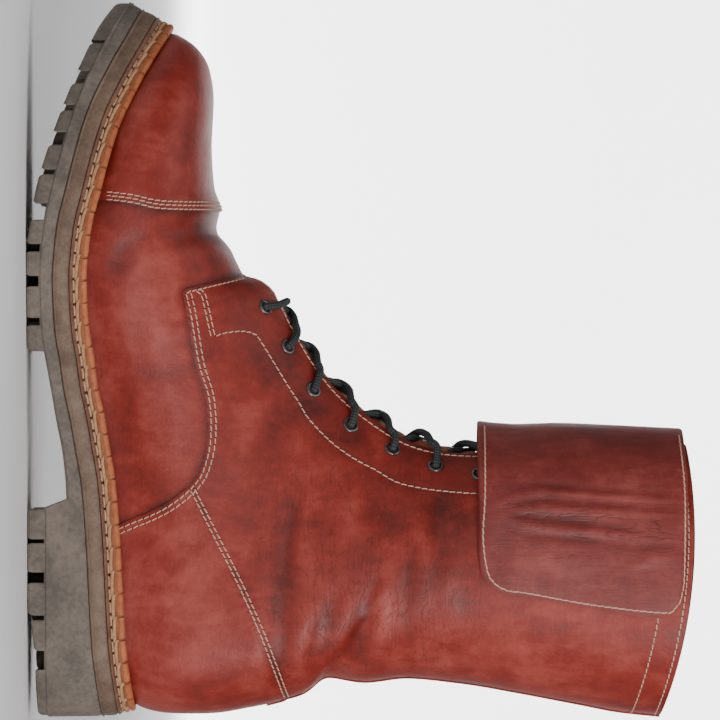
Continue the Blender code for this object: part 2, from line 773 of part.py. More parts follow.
outsole()
wall_inset = feather_inset(RING) + WALL + INSOLE_SIDE_GAP
SEAT = stack(RING, SEAT_INSET, MIDSOLE_TOP)
SEAT_RIM = stack(RING, SEAT_INSET, WELT_TOP)
LEDGE = stack(RING, wall_inset, WELT_TOP)
finish(ring_solid("midsole", [stack(RING, 0.0, 0.0), stack(RING, SOLE_STEP, MIDSOLE_TOP), SEAT], MIDSOLE))

welt_rings = [
    stack(RING, SOLE_STEP, MIDSOLE_TOP),
    stack(RING, 0.0004, WELT_EDGE),
    stack(RING, 0.0004 + WELT_BEVEL, WELT_TOP),
    LEDGE,
    SEAT_RIM,
    SEAT,
]
finish(ring_solid("welt", welt_rings, WELT, hollow=True))

braid_rings = []
for k in range(6):
    a = math.radians(60 * k - 90)
    middle = table(FEATHER, 2, RING[:, 0] / LENGTH)
    inset = middle - BRAID_WIDTH / 2 * math.cos(a)
    braid_rings.append(stack(RING, inset, WELT_TOP + BRAID_HEIGHT / 2 * (1 + math.sin(a)) + FOOT_GAP))
finish(ring_solid("welt_braid", braid_rings, BRAID, hollow=True), round_all=True)

insole_rings = [
    SEAT,
    SEAT_RIM,
    LEDGE,
    stack(RING, wall_inset, INSOLE_TOP),
]
finish(ring_solid("insole", insole_rings, INSOLE))

COUNTS = (5, 4, 1)
ROWS = [float(i) for i in range(LAST_ROW + 1)]
OUTER = surface(ROWS, COUNTS)
NORMAL = normals_of(OUTER, ROWS)
COLS = OUTER.shape[1]
LACING = (COUNTS[0] + COUNTS[1], COUNTS[0] + COUNTS[1] + 2 * COUNTS[2])
CLOSED = [i for i, v in enumerate(ROWS) if v >= HEEL_ROW]

# Fine copy of the surface, used to find places on it
FINE_ROWS = list(np.linspace(0, LAST_ROW, 5 * LAST_ROW + 1))
FINE = surface(FINE_ROWS, (16, 24, 8))
FINE_NORMAL = normals_of(FINE, FINE_ROWS)
FINE_MIDDLE = FINE.shape[1] // 2


def side_place(x, z, side):
    """Point, normal and fine place of the surface at a place in the side view."""
    half = FINE[:, : FINE_MIDDLE + 1]
    away = (half[:, :, 0] - x) ** 2 + (half[:, :, 2] - z) ** 2
    i, j = np.unravel_index(np.argmin(away), away.shape)
    if side < 0:
        j = FINE.shape[1] - 1 - j
    return FINE[i, j], FINE_NORMAL[i, j], (i, j)


def from_ridge(i, distance):
    """Point and normal on a fine row, at a distance along it from the ridge."""
    step = 1 if distance < 0 else -1
    line = FINE[i, FINE_MIDDLE::step]
    normal = FINE_NORMAL[i, FINE_MIDDLE::step]
    length = np.concatenate([[0], np.cumsum(np.linalg.norm(np.diff(line, axis=0), axis=1))])
    at = abs(distance)
    point = np.array([np.interp(at, length, line[:, c]) for c in range(3)])
    facing = np.array([np.interp(at, length, normal[:, c]) for c in range(3)])
    return point, facing / np.linalg.norm(facing)


def every_cell(rows, cols):
    return [[True] * (cols - 1) for _ in range(rows - 1)]


def overlay(name, rows, columns, cutter, skin):
    """Thin piece on the upper: part of its own grid, cut in the side view."""
    low, high = rows
    outside = (OUTER + NORMAL * (OVERLAY + OVERLAY_GAP))[low : high + 1]
    inside = (OUTER + NORMAL * OVERLAY_GAP)[low : high + 1]
    keep = [[any(a <= j < b for a, b in columns) for j in range(COLS - 1)] for _ in range(high - low)]
    closed = [i - low for i in CLOSED if low <= i <= high]
    piece = shell(name, outside, inside, keep, None, closed)
    if cutter:
        piece = combine(piece, cutter, "INTERSECT")
    piece.data.materials.clear()
    if skin:
        piece.data.materials.append(skin)
    return piece


def braid_top(x):
    """Height of the top of the braid at a length."""
    y_out, y_in, z = foot_at(x)
    lean = np.radians(table(SIDE, 3, np.asarray(x) / LENGTH))
    return z + (BRAID_HEIGHT + OVERLAY_START) * np.cos(lean)


def side_points(rows):
    return [(LENGTH * row[0], HEIGHT * row[1]) for row in rows]


# Holes for the eyelets, bored through the upper and the eyestays
PLACES = []
for along, up in EYELETS:
    for side in (1, -1):
        PLACES.append((side, *side_place(LENGTH * along, HEIGHT * up, side)))


def turned(name, profile, centre, axis, sides, skin):
    """Ring turned about an axis from a profile of radius and height."""
    axis = axis / np.linalg.norm(axis)
    across = np.cross(axis, (0.0, 1.0, 0.0))
    across /= np.linalg.norm(across)
    other = np.cross(axis, across)
    verts = []
    faces = []
    for r, h in profile:
        for k in range(sides):
            a = 2 * math.pi * k / sides
            verts.append(centre + axis * h + (across * math.cos(a) + other * math.sin(a)) * r)
    for p in range(len(profile)):
        q = (p + 1) % len(profile)
        for k in range(sides):
            m = (k + 1) % sides
            faces.append([p * sides + k, p * sides + m, q * sides + m, q * sides + k])
    return mesh_object(name, verts, faces, skin)


def bores(side=None):
    """Plain cylinders through the leather at the eyelets."""
    parts = []
    for s, point, normal, _ in PLACES:
        if side is not None and s != side:
            continue
        rim = [(EYELET_HOLE, -BORE_REACH), (EYELET_HOLE, BORE_REACH)]
        axis = normal / np.linalg.norm(normal)
        across = np.cross(axis, (0.0, 1.0, 0.0))
        across /= np.linalg.norm(across)
        other = np.cross(axis, across)
        verts = []
        for r, h in rim:
            for k in range(EYELET_SIDES):
                a = 2 * math.pi * k / EYELET_SIDES
                verts.append(point + axis * h + (across * math.cos(a) + other * math.sin(a)) * r)
        n = EYELET_SIDES
        faces = [list(range(n)), list(range(n, 2 * n))]
        faces += [[k, (k + 1) % n, (k + 1) % n + n, k + n] for k in range(n)]
        parts.append(mesh_object("bore", verts, faces, None))
    return joined("bores", parts)


# Upper, open at the collar, the lacing and underneath
keep = [
    [not (i >= THROAT_ROW and LACING[0] <= j < LACING[1]) for j in range(COLS - 1)]
    for i in range(len(ROWS) - 1)
]
upper = shell("upper", OUTER, OUTER - NORMAL * WALL, keep, None, CLOSED)
upper = combine(upper, bores(), "DIFFERENCE")
upper.data.materials.clear()
upper.data.materials.append(LEATHER)
finish(upper)

# Toe cap, ending at its seam
xs = np.linspace(0.700, 1.000, 13) * LENGTH
above = [(float(x), float(braid_top(x))) for x in xs]
above += [(LENGTH * CAP_CUT_FRONT, HEIGHT * CAP_CUT_TOP), (LENGTH * CAP_CUT_REAR, HEIGHT * CAP_CUT_TOP)]
cap_cut = slab("cap_cut", above, -BALL_WIDTH, BALL_WIDTH)
finish(overlay("toe_cap", (0, TOE_CAP_ROW), [(0, COLS - 1)], cap_cut, LEATHER))

# Counter around the heel
xs = np.linspace(-0.03, COUNTER_FRONT[0][0], 8) * LENGTH
under = [(float(x), float(braid_top(max(x, FOOT_OUT[0, 0])))) for x in xs]
outline = under + side_points(COUNTER_FRONT) + side_points(COUNTER_SEAM)
counter_cut = slab("counter_cut", outline, -BALL_WIDTH, BALL_WIDTH)
finish(overlay("counter", (14, 25), [(0, 7), (COLS - 8, COLS - 1)], counter_cut, LEATHER))

# Eyestays beside the lacing
front = [(0.640, 0.30), (0.680, 0.42), (0.560, 0.60), (0.480, 1.02)]
for name, side in (("eyestay_outer", 1), ("eyestay_inner", -1)):
    outline = side_points(EYESTAY_EDGE) + side_points(front[::-1])
    columns = (LACING[0] - EYESTAY_COLUMNS, LACING[0])
    cut_from, cut_to = RIDGE_MARGIN, BALL_WIDTH
    if side < 0:
        columns = (LACING[1], LACING[1] + EYESTAY_COLUMNS)
        cut_from, cut_to = -BALL_WIDTH, -RIDGE_MARGIN
    cut = slab("eyestay_cut", outline, cut_from, cut_to)
    piece = overlay(name, (THROAT_ROW, LAST_ROW), [columns], cut, None)
    piece = combine(piece, bores(side), "DIFFERENCE")
    piece.data.materials.clear()
    piece.data.materials.append(LEATHER)
    finish(piece)

# Eyelets through upper and eyestay
BASE = OVERLAY + OVERLAY_GAP + EYELET_GAP
PROFILE = [
    (EYELET_BORE, -WALL - EYELET_TAIL),
    (EYELET_BARREL, -WALL - EYELET_TAIL),
    (EYELET_BARREL, BASE),
    (EYELET_RADIUS, BASE),
    (EYELET_BORE + EYELET_LIP, BASE + EYELET_RISE),
]
for k, (side, point, normal, _) in enumerate(PLACES):
    name = "eyelet_%s_%d" % ("outer" if side > 0 else "inner", k // 2 + 1)
    finish(turned(name, PROFILE, point, normal, EYELET_SIDES, METAL))

# Tongue under the lacing
tongue_rows = [5 * i for i in range(THROAT_ROW - 1, LAST_ROW)] + [5 * LAST_ROW - 3]
shares = np.linspace(-1, 1, 7)
outside = []
inside = []
for i in tongue_rows:
    gap = section_row(FINE_ROWS[i])[11]
    line_out = []
    line_in = []
    for share in shares:
        point, normal = from_ridge(i, TONGUE_REACH * share)
        swell = TONGUE_SWELL * max(0.0, 1 - (TONGUE_REACH * share / gap) ** 2)
        if i <= 5 * THROAT_ROW:
            swell = 0.0
        line_out.append(point - normal * (WALL + TONGUE_GAP - swell))
        line_in.append(point - normal * (WALL + TONGUE_GAP - swell + TONGUE_THICKNESS))
    outside.append(line_out)
    inside.append(line_in)
outside = np.array(outside)[:, ::-1]
inside = np.array(inside)[:, ::-1]
finish(shell("tongue", outside, inside, every_cell(*outside.shape[:2]), TONGUE_LEATHER))

# Cuff flap around the front of the shaft
def flap_line(z):
    """Points of one level of the flap, and their normals, at a height."""
    points = []
    for j in range(FINE.shape[1]):
        column = FINE[5 * HEEL_ROW :, j]
        facing = FINE_NORMAL[5 * HEEL_ROW :, j]
        z_here = np.maximum.accumulate(column[:, 2])
        place = [np.interp(z, z_here, column[:, c]) for c in range(2)]
        points.append(place + [z] + [np.interp(z, z_here, facing[:, c]) for c in range(3)])
    return np.array(points)


flap_out = []
flap_in = []
for up, along in FLAP_EDGE:
    line = flap_line(HEIGHT * up)
    rear = LENGTH * along
    left = line[: FINE_MIDDLE + 1]
    right = line[FINE_MIDDLE:]
    start = np.interp(rear, left[:, 0], np.arange(len(left)))
    end = FINE_MIDDLE + np.interp(-rear, -right[:, 0], np.arange(len(right)))
    front_stand = float(table(FLAP_STAND, 1, up))
    ks = np.linspace(start, end, FLAP_COLUMNS + 1)
    row_out = []
    row_in = []
    for k, share in zip(ks, np.linspace(0, 1, FLAP_COLUMNS + 1)):
        place = np.array([np.interp(k, np.arange(len(line)), line[:, c]) for c in range(6)])
        facing = place[3:] * (1, 1, 0)
        facing /= np.linalg.norm(facing)
        rise = 0.5 - 0.5 * math.cos(math.pi * min(1.0, min(share, 1 - share) / FLAP_SPREAD * 2))
        end_stand = FLAP_FREE_STAND if share < 0.5 else FLAP_SEWN_STAND
        stand = end_stand + (front_stand - end_stand) * rise
        row_in.append(place[:3] + facing * stand)
        row_out.append(place[:3] + facing * (stand + FLAP_THICKNESS))
    flap_out.append(row_out)
    flap_in.append(row_in)
flap_out = np.array(flap_out)[::-1]
flap_in = np.array(flap_in)[::-1]
finish(shell("cuff_flap", flap_out, flap_in, every_cell(*flap_out.shape[:2]), FLAP_LEATHER))


# Lace: a bar at the bottom and a crossing at each pair above it
def tube(points, radius, sides, turn=0.5):
    """Round cord through points."""
    points = np.array(points, float)
    along = np.gradient(points, axis=0)
    verts = []
    faces = []
    for p, d in zip(points, along):
        d = d / np.linalg.norm(d)
        across = np.cross(d, (0.3, 0.0, 1.0))
        across /= np.linalg.norm(across)
        other = np.cross(d, across)
        for k in range(sides):
            a = 2 * math.pi * (k + turn) / sides
            verts.append(p + (across * math.cos(a) + other * math.sin(a)) * radius)
    n = len(points)
    for i in range(n - 1):
        for k in range(sides):
            m = (k + 1) % sides
            faces.append([i * sides + k, i * sides + m, (i + 1) * sides + m, (i + 1) * sides + k])
    faces.append(list(range(sides)))
    faces.append(list(range((n - 1) * sides, n * sides)))
    return mesh_object("cord", verts, faces, None)


def lace_bar(start, finish_row, side, bottom=False):
    """Points of the cord from an eyelet over the edge to the far side."""
    i0 = start[2][0]
    gap0 = section_row(FINE_ROWS[i0])[11]
    top = OVERLAY + OVERLAY_GAP + EYELET_GAP + EYELET_RISE + LACE_RADIUS + LACE_CLEARANCE
    reach = np.linalg.norm(start[0] - from_ridge(i0, gap0 * side)[0])
    rows = np.linspace(i0, finish_row, 6)
    places = [gap0 + reach, gap0 + LACE_SHOULDER, gap0 * 0.45, -gap0 * 0.3, -(gap0 - LACE_TUCK)]
    highs = [top, top, top - LACE_FIRST_DROP, top - LACE_SECOND_DROP, LACE_LOW]
    if bottom:
        places = [gap0 + reach, gap0 + LACE_SHOULDER, 0.0, -(gap0 + LACE_SHOULDER), -(gap0 + reach)]
        highs = [top, top, top, top, top]
    steps = [0.0, 0.25, 0.5, 0.75, 1.0]
    points = []
    for place, high, step in zip(places, highs, steps):
        i = int(round(i0 + (finish_row - i0) * step))
        point, normal = from_ridge(i, place * side)
        points.append(point + normal * high)
    return points


outer = [p[1:] for p in PLACES if p[0] > 0]
inner = [p[1:] for p in PLACES if p[0] < 0]
first = lace_bar(outer[0], outer[0][2][0], 1, bottom=True)
cords = [tube(first, LACE_RADIUS, LACE_SIDES)]
for k in range(1, len(outer)):
    below = int(round((outer[k][2][0] + outer[k - 1][2][0]) / 2))
    one = tube(lace_bar(outer[k], below, 1), LACE_RADIUS, LACE_SIDES)
    two = tube(lace_bar(inner[k], below, -1), LACE_RADIUS, LACE_SIDES, 0.23)
    cords.append(combine(one, two, "UNION"))
for k, cord in enumerate(cords):
    cord.name = "lace_bar" if k == 0 else "lace_crossing_%d" % k
    cord.data.materials.clear()
    cord.data.materials.append(LACE)
    finish(cord, round_all=True)
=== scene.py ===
# Lace-up boot for the left foot, dressed for its photograph.
# Working lengths in metres: X from the back of the heel, Y to the outer side, Z up.
import math

import bpy
import numpy as np
from mathutils import Matrix, Vector
from mathutils.bvhtree import BVHTree


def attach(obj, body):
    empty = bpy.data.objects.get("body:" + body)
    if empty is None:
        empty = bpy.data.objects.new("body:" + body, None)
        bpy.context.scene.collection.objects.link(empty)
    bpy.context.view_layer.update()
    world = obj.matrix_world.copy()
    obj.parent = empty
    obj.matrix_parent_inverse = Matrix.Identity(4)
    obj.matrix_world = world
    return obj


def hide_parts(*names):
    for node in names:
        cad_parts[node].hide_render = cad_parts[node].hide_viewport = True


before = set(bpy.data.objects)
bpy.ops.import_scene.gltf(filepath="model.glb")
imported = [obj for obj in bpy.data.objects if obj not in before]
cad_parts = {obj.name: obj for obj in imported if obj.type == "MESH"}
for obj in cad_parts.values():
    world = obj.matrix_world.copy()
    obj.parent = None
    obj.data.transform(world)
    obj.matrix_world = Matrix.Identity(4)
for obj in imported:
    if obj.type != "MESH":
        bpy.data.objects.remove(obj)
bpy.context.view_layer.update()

# Sizes shared with the solids
LENGTH = 0.316
HEIGHT = 0.292
BALL_WIDTH = 0.112
TOE_RISE = 0.050
HEEL_BREAST = 0.0955
HEEL_GROOVE_FLOOR = 0.0075
LUG_DEPTH = 0.0200
LUG_SHARE = 0.32
MIDSOLE_TOP = 0.0075
WELT_EDGE = 0.0084
WELT_TOP = 0.0102
WELT_BEVEL = 0.0026
FOOT_GAP = 0.0003
BRAID_WIDTH = 0.0038
BRAID_HEIGHT = 0.0050
INSOLE_TOP = 0.0130
WALL = 0.0022
TONGUE_THICKNESS = 0.0022
TONGUE_GAP = 0.0013
TONGUE_REACH = 0.0360
TONGUE_SWELL = 0.0014
FLAP_THICKNESS = 0.0022
FLAP_FREE_STAND = 0.0014
FLAP_SEWN_STAND = 0.0005
FLAP_SPREAD = 0.62
LACE_RADIUS = 0.00165
TAB_SWELL = 0.0028

# Levels of the leather pieces on the last
VAMP_LEVEL = 0.0001
QUARTER_LEVEL = 0.0008
CAP_LEVEL = 0.0011
EDGE_ROUND = 0.0011

# Outline of the tread from above: share of length, shares of ball width
PLAN = [
    (0.008, 0.120, -0.120), (0.035, 0.232, -0.232), (0.085, 0.313, -0.313), (0.160, 0.339, -0.338),
    (0.260, 0.339, -0.317), (0.360, 0.346, -0.281), (0.460, 0.391, -0.281), (0.560, 0.473, -0.353),
    (0.660, 0.536, -0.433), (0.750, 0.529, -0.455), (0.840, 0.442, -0.420), (0.905, 0.335, -0.365),
    (0.960, 0.190, -0.272), (0.989, 0.060, -0.178),
]
TOE_TIP_SIDE = -0.0625

# Side view of the sole: share of length, shares of toe rise, lean in degrees
SIDE = [
    (0.000, 0.370, 0.638, -2.0), (0.095, 0.366, 0.564, -3.0), (0.160, 0.362, 0.540, -3.0),
    (0.237, 0.358, 0.516, -3.0), (0.326, 0.340, 0.470, -5.0), (0.370, 0.312, 0.422, -6.0),
    (0.413, 0.260, 0.376, -6.0), (0.456, 0.214, 0.320, -5.0), (0.498, 0.168, 0.286, -4.0),
    (0.528, 0.132, 0.254, -3.0), (0.568, 0.116, 0.234, -1.0), (0.611, 0.112, 0.228, 1.0),
    (0.654, 0.126, 0.246, 4.0), (0.696, 0.164, 0.280, 8.0), (0.744, 0.228, 0.350, 12.0),
    (0.798, 0.318, 0.430, 16.0), (0.852, 0.422, 0.530, 20.0), (0.916, 0.590, 0.710, 22.0),
    (0.967, 0.750, 0.880, 23.0), (1.000, 0.870, 0.990, 24.0),
]
# Underside of the lugs: share of length, share of toe rise
TREAD = [
    (0.000, 0.078), (0.094, 0.060), (0.135, 0.030), (0.158, 0.000), (0.310, 0.000), (0.505, 0.012),
    (0.526, 0.000), (0.648, 0.000), (0.680, 0.030), (0.731, 0.084), (0.798, 0.204), (0.852, 0.322),
    (0.916, 0.486), (0.960, 0.610), (1.000, 0.770),
]
EDGE_LUGS = [
    (0.510, 0.547), (0.556, 0.601), (0.614, 0.649), (0.658, 0.693), (0.714, 0.756), (0.761, 0.797),
    (0.813, 0.845), (0.851, 0.883), (0.899, 0.940),
]
HEEL_LUGS = [(0.094, 0.138), (0.143, 0.190), (0.203, 0.245), (0.249, 0.292)]
TOE_LUG_START = 0.943
HEEL_LUG_END = 0.068
CENTRE_STUDS = [0.5515, 0.6075, 0.6535, 0.759, 0.805, 0.848, 0.891, 0.081, 0.1405, 0.1965, 0.247]

# Distances from the edge of the sole: to the upper, to the middle of the braid
FEATHER = [
    (0.000, 0.0072, 0.0028), (0.200, 0.0074, 0.0030), (0.350, 0.0084, 0.0042),
    (0.850, 0.0090, 0.0042), (0.930, 0.0090, 0.0031), (1.000, 0.0088, 0.0016),
]

# Sections of the upper from the toe to the collar: foot, foot_z, top, top_z,
# ridge, widest, out, in, round, low, high, gap, bow
SECTIONS = [
    (0.9485, 0.0000, 0.9500, 0.203, -0.062, 0.50, -0.022, -0.101, 0.60, 0.55, 0.55, 0.002, 0.000),
    (0.9430, 0.0000, 0.9515, 0.217, -0.062, 0.42, 0.026, -0.150, 0.50, 0.60, 0.60, 0.003, 0.000),
    (0.9290, 0.0000, 0.9460, 0.231, -0.062, 0.38, 0.102, -0.225, 0.40, 0.60, 0.62, 0.004, 0.000),
    (0.9080, 0.0000, 0.9310, 0.252, -0.062, 0.36, 0.200, -0.297, 0.30, 0.60, 0.64, 0.006, 0.000),
    (0.8800, 0.0000, 0.9030, 0.269, -0.060, 0.34, 0.300, -0.350, 0.25, 0.60, 0.64, 0.007, 0.000),
    (0.8450, 0.0000, 0.8600, 0.275, -0.058, 0.34, 0.375, -0.378, 0.20, 0.58, 0.64, 0.008, 0.000),
    (0.7980, 0.0000, 0.7980, 0.272, -0.055, 0.33, 0.445, -0.402, 0.15, 0.56, 0.62, 0.009, 0.000),
    (0.7500, 0.0000, 0.7400, 0.276, -0.052, 0.32, 0.482, -0.414, 0.15, 0.56, 0.60, 0.009, 0.000),
    (0.7230, 0.0000, 0.7060, 0.288, -0.050, 0.32, 0.490, -0.414, 0.15, 0.56, 0.60, 0.009, 0.000),
    (0.6850, 0.0000, 0.6780, 0.286, -0.048, 0.32, 0.490, -0.408, 0.15, 0.56, 0.58, 0.009, 0.000),
    (0.6260, 0.0000, 0.6460, 0.308, -0.044, 0.33, 0.474, -0.384, 0.15, 0.56, 0.56, 0.009, 0.000),
    (0.5600, 0.0000, 0.6140, 0.326, -0.040, 0.34, 0.444, -0.350, 0.15, 0.58, 0.55, 0.009, 0.000),
    (0.4950, 0.0000, 0.5830, 0.378, -0.036, 0.35, 0.408, -0.324, 0.15, 0.58, 0.54, 0.010, 0.000),
    (0.4200, 0.0000, 0.5450, 0.404, -0.032, 0.36, 0.376, -0.306, 0.15, 0.60, 0.54, 0.011, 0.000),
    (0.3370, 0.0000, 0.5020, 0.435, -0.026, 0.38, 0.352, -0.300, 0.15, 0.62, 0.55, 0.012, 0.000),
    (0.2460, 0.0000, 0.4640, 0.472, -0.020, 0.40, 0.336, -0.306, 0.15, 0.64, 0.55, 0.013, 0.000),
    (0.1570, 0.0000, 0.4400, 0.503, -0.014, 0.42, 0.330, -0.316, 0.30, 0.66, 0.56, 0.013, 0.000),
    (0.0940, 0.0000, 0.4220, 0.530, -0.010, 0.44, 0.330, -0.322, 0.52, 0.68, 0.57, 0.013, 0.000),
    (0.0480, 0.0000, 0.4080, 0.553, -0.006, 0.46, 0.332, -0.328, 0.80, 0.70, 0.58, 0.013, 0.000),
    (0.0205, 0.1560, 0.3960, 0.575, -0.002, 0.47, 0.334, -0.332, 1.00, 0.72, 0.58, 0.013, 0.000),
    (0.0080, 0.1910, 0.3870, 0.600, 0.000, 0.48, 0.336, -0.336, 1.00, 0.72, 0.58, 0.013, 0.000),
    (0.0070, 0.2640, 0.3780, 0.628, 0.000, 0.49, 0.340, -0.340, 1.00, 0.70, 0.58, 0.012, 0.000),
    (0.0165, 0.3360, 0.3740, 0.655, 0.000, 0.50, 0.344, -0.344, 1.00, 0.66, 0.58, 0.012, 0.000),
    (0.0340, 0.4100, 0.3720, 0.682, 0.000, 0.50, 0.348, -0.348, 1.00, 0.62, 0.58, 0.012, 0.000),
    (0.0580, 0.4540, 0.3710, 0.705, 0.000, 0.50, 0.352, -0.352, 1.00, 0.60, 0.58, 0.011, 0.000),
    (0.0515, 0.5080, 0.3710, 0.728, 0.000, 0.50, 0.358, -0.358, 1.00, 0.59, 0.58, 0.011, 0.000),
    (0.0575, 0.5700, 0.3730, 0.755, 0.000, 0.50, 0.364, -0.364, 1.00, 0.58, 0.58, 0.011, 0.000),
    (0.0500, 0.6550, 0.3770, 0.795, 0.000, 0.50, 0.374, -0.374, 1.00, 0.58, 0.58, 0.011, 0.002),
    (0.0370, 0.7380, 0.3800, 0.845, 0.000, 0.50, 0.384, -0.384, 1.00, 0.58, 0.58, 0.011, 0.004),
    (0.0210, 0.8290, 0.3820, 0.900, 0.000, 0.50, 0.392, -0.392, 1.00, 0.58, 0.58, 0.011, 0.008),
    (0.0100, 0.8920, 0.3830, 0.948, 0.000, 0.50, 0.398, -0.398, 1.00, 0.58, 0.58, 0.011, 0.014),
    (0.0040, 0.9530, 0.3840, 0.990, 0.000, 0.50, 0.402, -0.402, 1.00, 0.58, 0.58, 0.011, 0.026),
]
THROAT_ROW = 11
HEEL_ROW = 19
LAST_ROW = 31

EYELETS = [
    (0.572, 0.357), (0.517, 0.391), (0.457, 0.430), (0.408, 0.486), (0.375, 0.549), (0.351, 0.614),
    (0.340, 0.680),
]
# Rear edge of the cuff flap: share of height, share of length
FLAP_EDGE = [
    (0.677, 0.234), (0.681, 0.205), (0.692, 0.186), (0.715, 0.177), (0.776, 0.168), (0.851, 0.156),
    (0.934, 0.144), (0.966, 0.147), (0.981, 0.160), (0.988, 0.185),
]
FLAP_STAND = [(0.677, 0.0110), (0.780, 0.0090), (0.880, 0.0063), (0.990, 0.0038)]

# Places in the side view, in millimetres from the back of the heel and from the floor
QUARTER_SEAM = [
    (83.2, 39.7), (86.6, 47.8), (89.3, 54.5), (92.7, 61.1), (97.5, 68.0), (102.8, 73.5), (109.0, 77.4),
    (122.2, 80.5), (140.0, 80.0), (155.9, 75.5), (176.0, 72.2), (186.6, 69.9),
]
TAB_FRONT = [(188.2, 74.5), (190.6, 84.0), (193.2, 95.0)]
CAP_SEAM = [(227.6, 30.0), (225.8, 45.9), (223.4, 56.7), (222.8, 68.9), (223.0, 84.0)]
COUNTER_LINE = [(100.8, 72.6), (80.5, 82.8), (60.5, 92.9), (41.0, 101.7), (24.0, 108.2), (8.8, 113.6), (-8.0, 118.0)]
EYESTAY_ROW = [
    (168.1, 82.7), (169.5, 87.6), (170.1, 94.4), (168.8, 99.8), (165.5, 102.5), (156.7, 107.9),
    (147.8, 113.3), (138.3, 119.4), (131.6, 123.5), (121.8, 132.9), (114.4, 143.0), (109.0, 153.1),
    (104.2, 161.3), (101.9, 169.4), (100.2, 180.2), (98.9, 197.0), (98.0, 230.0), (97.0, 284.0),
]
BAR_ROWS = [(189.2, 75.4), (186.4, 78.2), (178.0, 80.2), (168.3, 82.3)]


# Curves and surfaces of the last

def smooth(xs, ys, at):
    """Smooth curve without overshoot through points."""
    xs, ys = np.asarray(xs, float), np.asarray(ys, float)
    at = np.clip(np.asarray(at, float), xs[0], xs[-1])
    step = np.diff(xs)
    rise = np.diff(ys) / step
    bend = np.zeros(len(xs))
    bend[0], bend[-1] = rise[0], rise[-1]
    for i in range(1, len(xs) - 1):
        a, b = rise[i - 1], rise[i]
        if a * b > 0:
            wa, wb = 2 * step[i] + step[i - 1], step[i] + 2 * step[i - 1]
            bend[i] = (wa + wb) / (wa / a + wb / b)
    k = np.clip(np.searchsorted(xs, at, side="right") - 1, 0, len(xs) - 2)
    h = step[k]
    t = (at - xs[k]) / h
    return (
        (1 + 2 * t) * (1 - t) ** 2 * ys[k] + t * (1 - t) ** 2 * h * bend[k]
        + t * t * (3 - 2 * t) * ys[k + 1] + t * t * (t - 1) * h * bend[k + 1]
    )


def table(rows, column, at):
    return smooth([r[0] for r in rows], [r[column] for r in rows], at)


def closed_curve(points, per_span):
    p = np.array(points, float)
    n = len(p)
    gaps = [math.sqrt(np.linalg.norm(p[(i + 1) % n] - p[i])) for i in range(n)]
    out = []
    for i in range(n):
        a, b, before, after = p[i], p[(i + 1) % n], p[i - 1], p[(i + 2) % n]
        g0, g1, g2 = gaps[i - 1], gaps[i], gaps[(i + 1) % n]
        ta = ((a - before) / g0 - (b - before) / (g0 + g1) + (b - a) / g1) * g1
        tb = ((b - a) / g1 - (after - a) / (g1 + g2) + (after - b) / g2) * g1
        for s in range(per_span):
            t = s / per_span
            out.append((1 + 2 * t) * (1 - t) ** 2 * a + t * (1 - t) ** 2 * ta
                       + t * t * (3 - 2 * t) * b + t * t * (t - 1) * tb)
    return np.array(out)


def plan_outline(per_span):
    points = [(0.0, 0.0)] + [(LENGTH * r[0], BALL_WIDTH * r[1]) for r in PLAN]
    points += [(LENGTH, BALL_WIDTH * TOE_TIP_SIDE)] + [(LENGTH * r[0], BALL_WIDTH * r[2]) for r in PLAN][::-1]
    return closed_curve(points, per_span)


def inward(ring, inset):
    along = np.roll(ring, -1, axis=0) - np.roll(ring, 1, axis=0)
    along /= np.linalg.norm(along, axis=1)[:, None]
    return ring + np.stack([along[:, 1], -along[:, 0]], axis=1) * np.asarray(inset, float).reshape(-1, 1)


def tread_z(x):
    return TOE_RISE * table(TREAD, 1, np.asarray(x) / LENGTH)


def core_z(x):
    return TOE_RISE * table(SIDE, 1, np.asarray(x) / LENGTH)


def stack(ring, inset, rise):
    """Ring of a sole layer: inset in plan, raised at right angles to the sole."""
    share = ring[:, 0] / LENGTH
    lean = np.radians(table(SIDE, 3, share))
    top = TOE_RISE * table(SIDE, 2, share)
    moved = inward(ring, np.broadcast_to(inset, len(ring)))
    side = np.maximum(top - tread_z(ring[:, 0]), 0.0)
    back = np.minimum(side, 0.012) * np.tan(lean * 0.7)
    return np.stack([moved[:, 0] - back - rise * np.sin(lean), moved[:, 1], top + rise * np.cos(lean)], axis=1)


def feather_halves():
    ring = plan_outline(24)
    foot = stack(ring, table(FEATHER, 1, ring[:, 0] / LENGTH), WELT_TOP + FOOT_GAP)
    half = len(ring) // 2
    return foot[: half + 1], np.roll(foot, -half, axis=0)[: half + 1][::-1]


FOOT_OUT, FOOT_IN = feather_halves()
HEEL_CLIMB = HEIGHT * 0.156 - FOOT_OUT[0, 2]
COARSE_RING = plan_outline(2)
FRAME_X = LENGTH / 2
FRAME_Y = (COARSE_RING[:, 1].max() + COARSE_RING[:, 1].min()) / 2
RING = plan_outline(24)


def bend_of(p0, p1, p2, p3, t):
    t = t[:, None]
    return (1 - t) ** 3 * p0 + 3 * t * (1 - t) ** 2 * p1 + 3 * t * t * (1 - t) * p2 + t**3 * p3


SECTION_DATA = np.array(SECTIONS, float)
SECTION_PLACES = np.arange(len(SECTIONS), dtype=float)


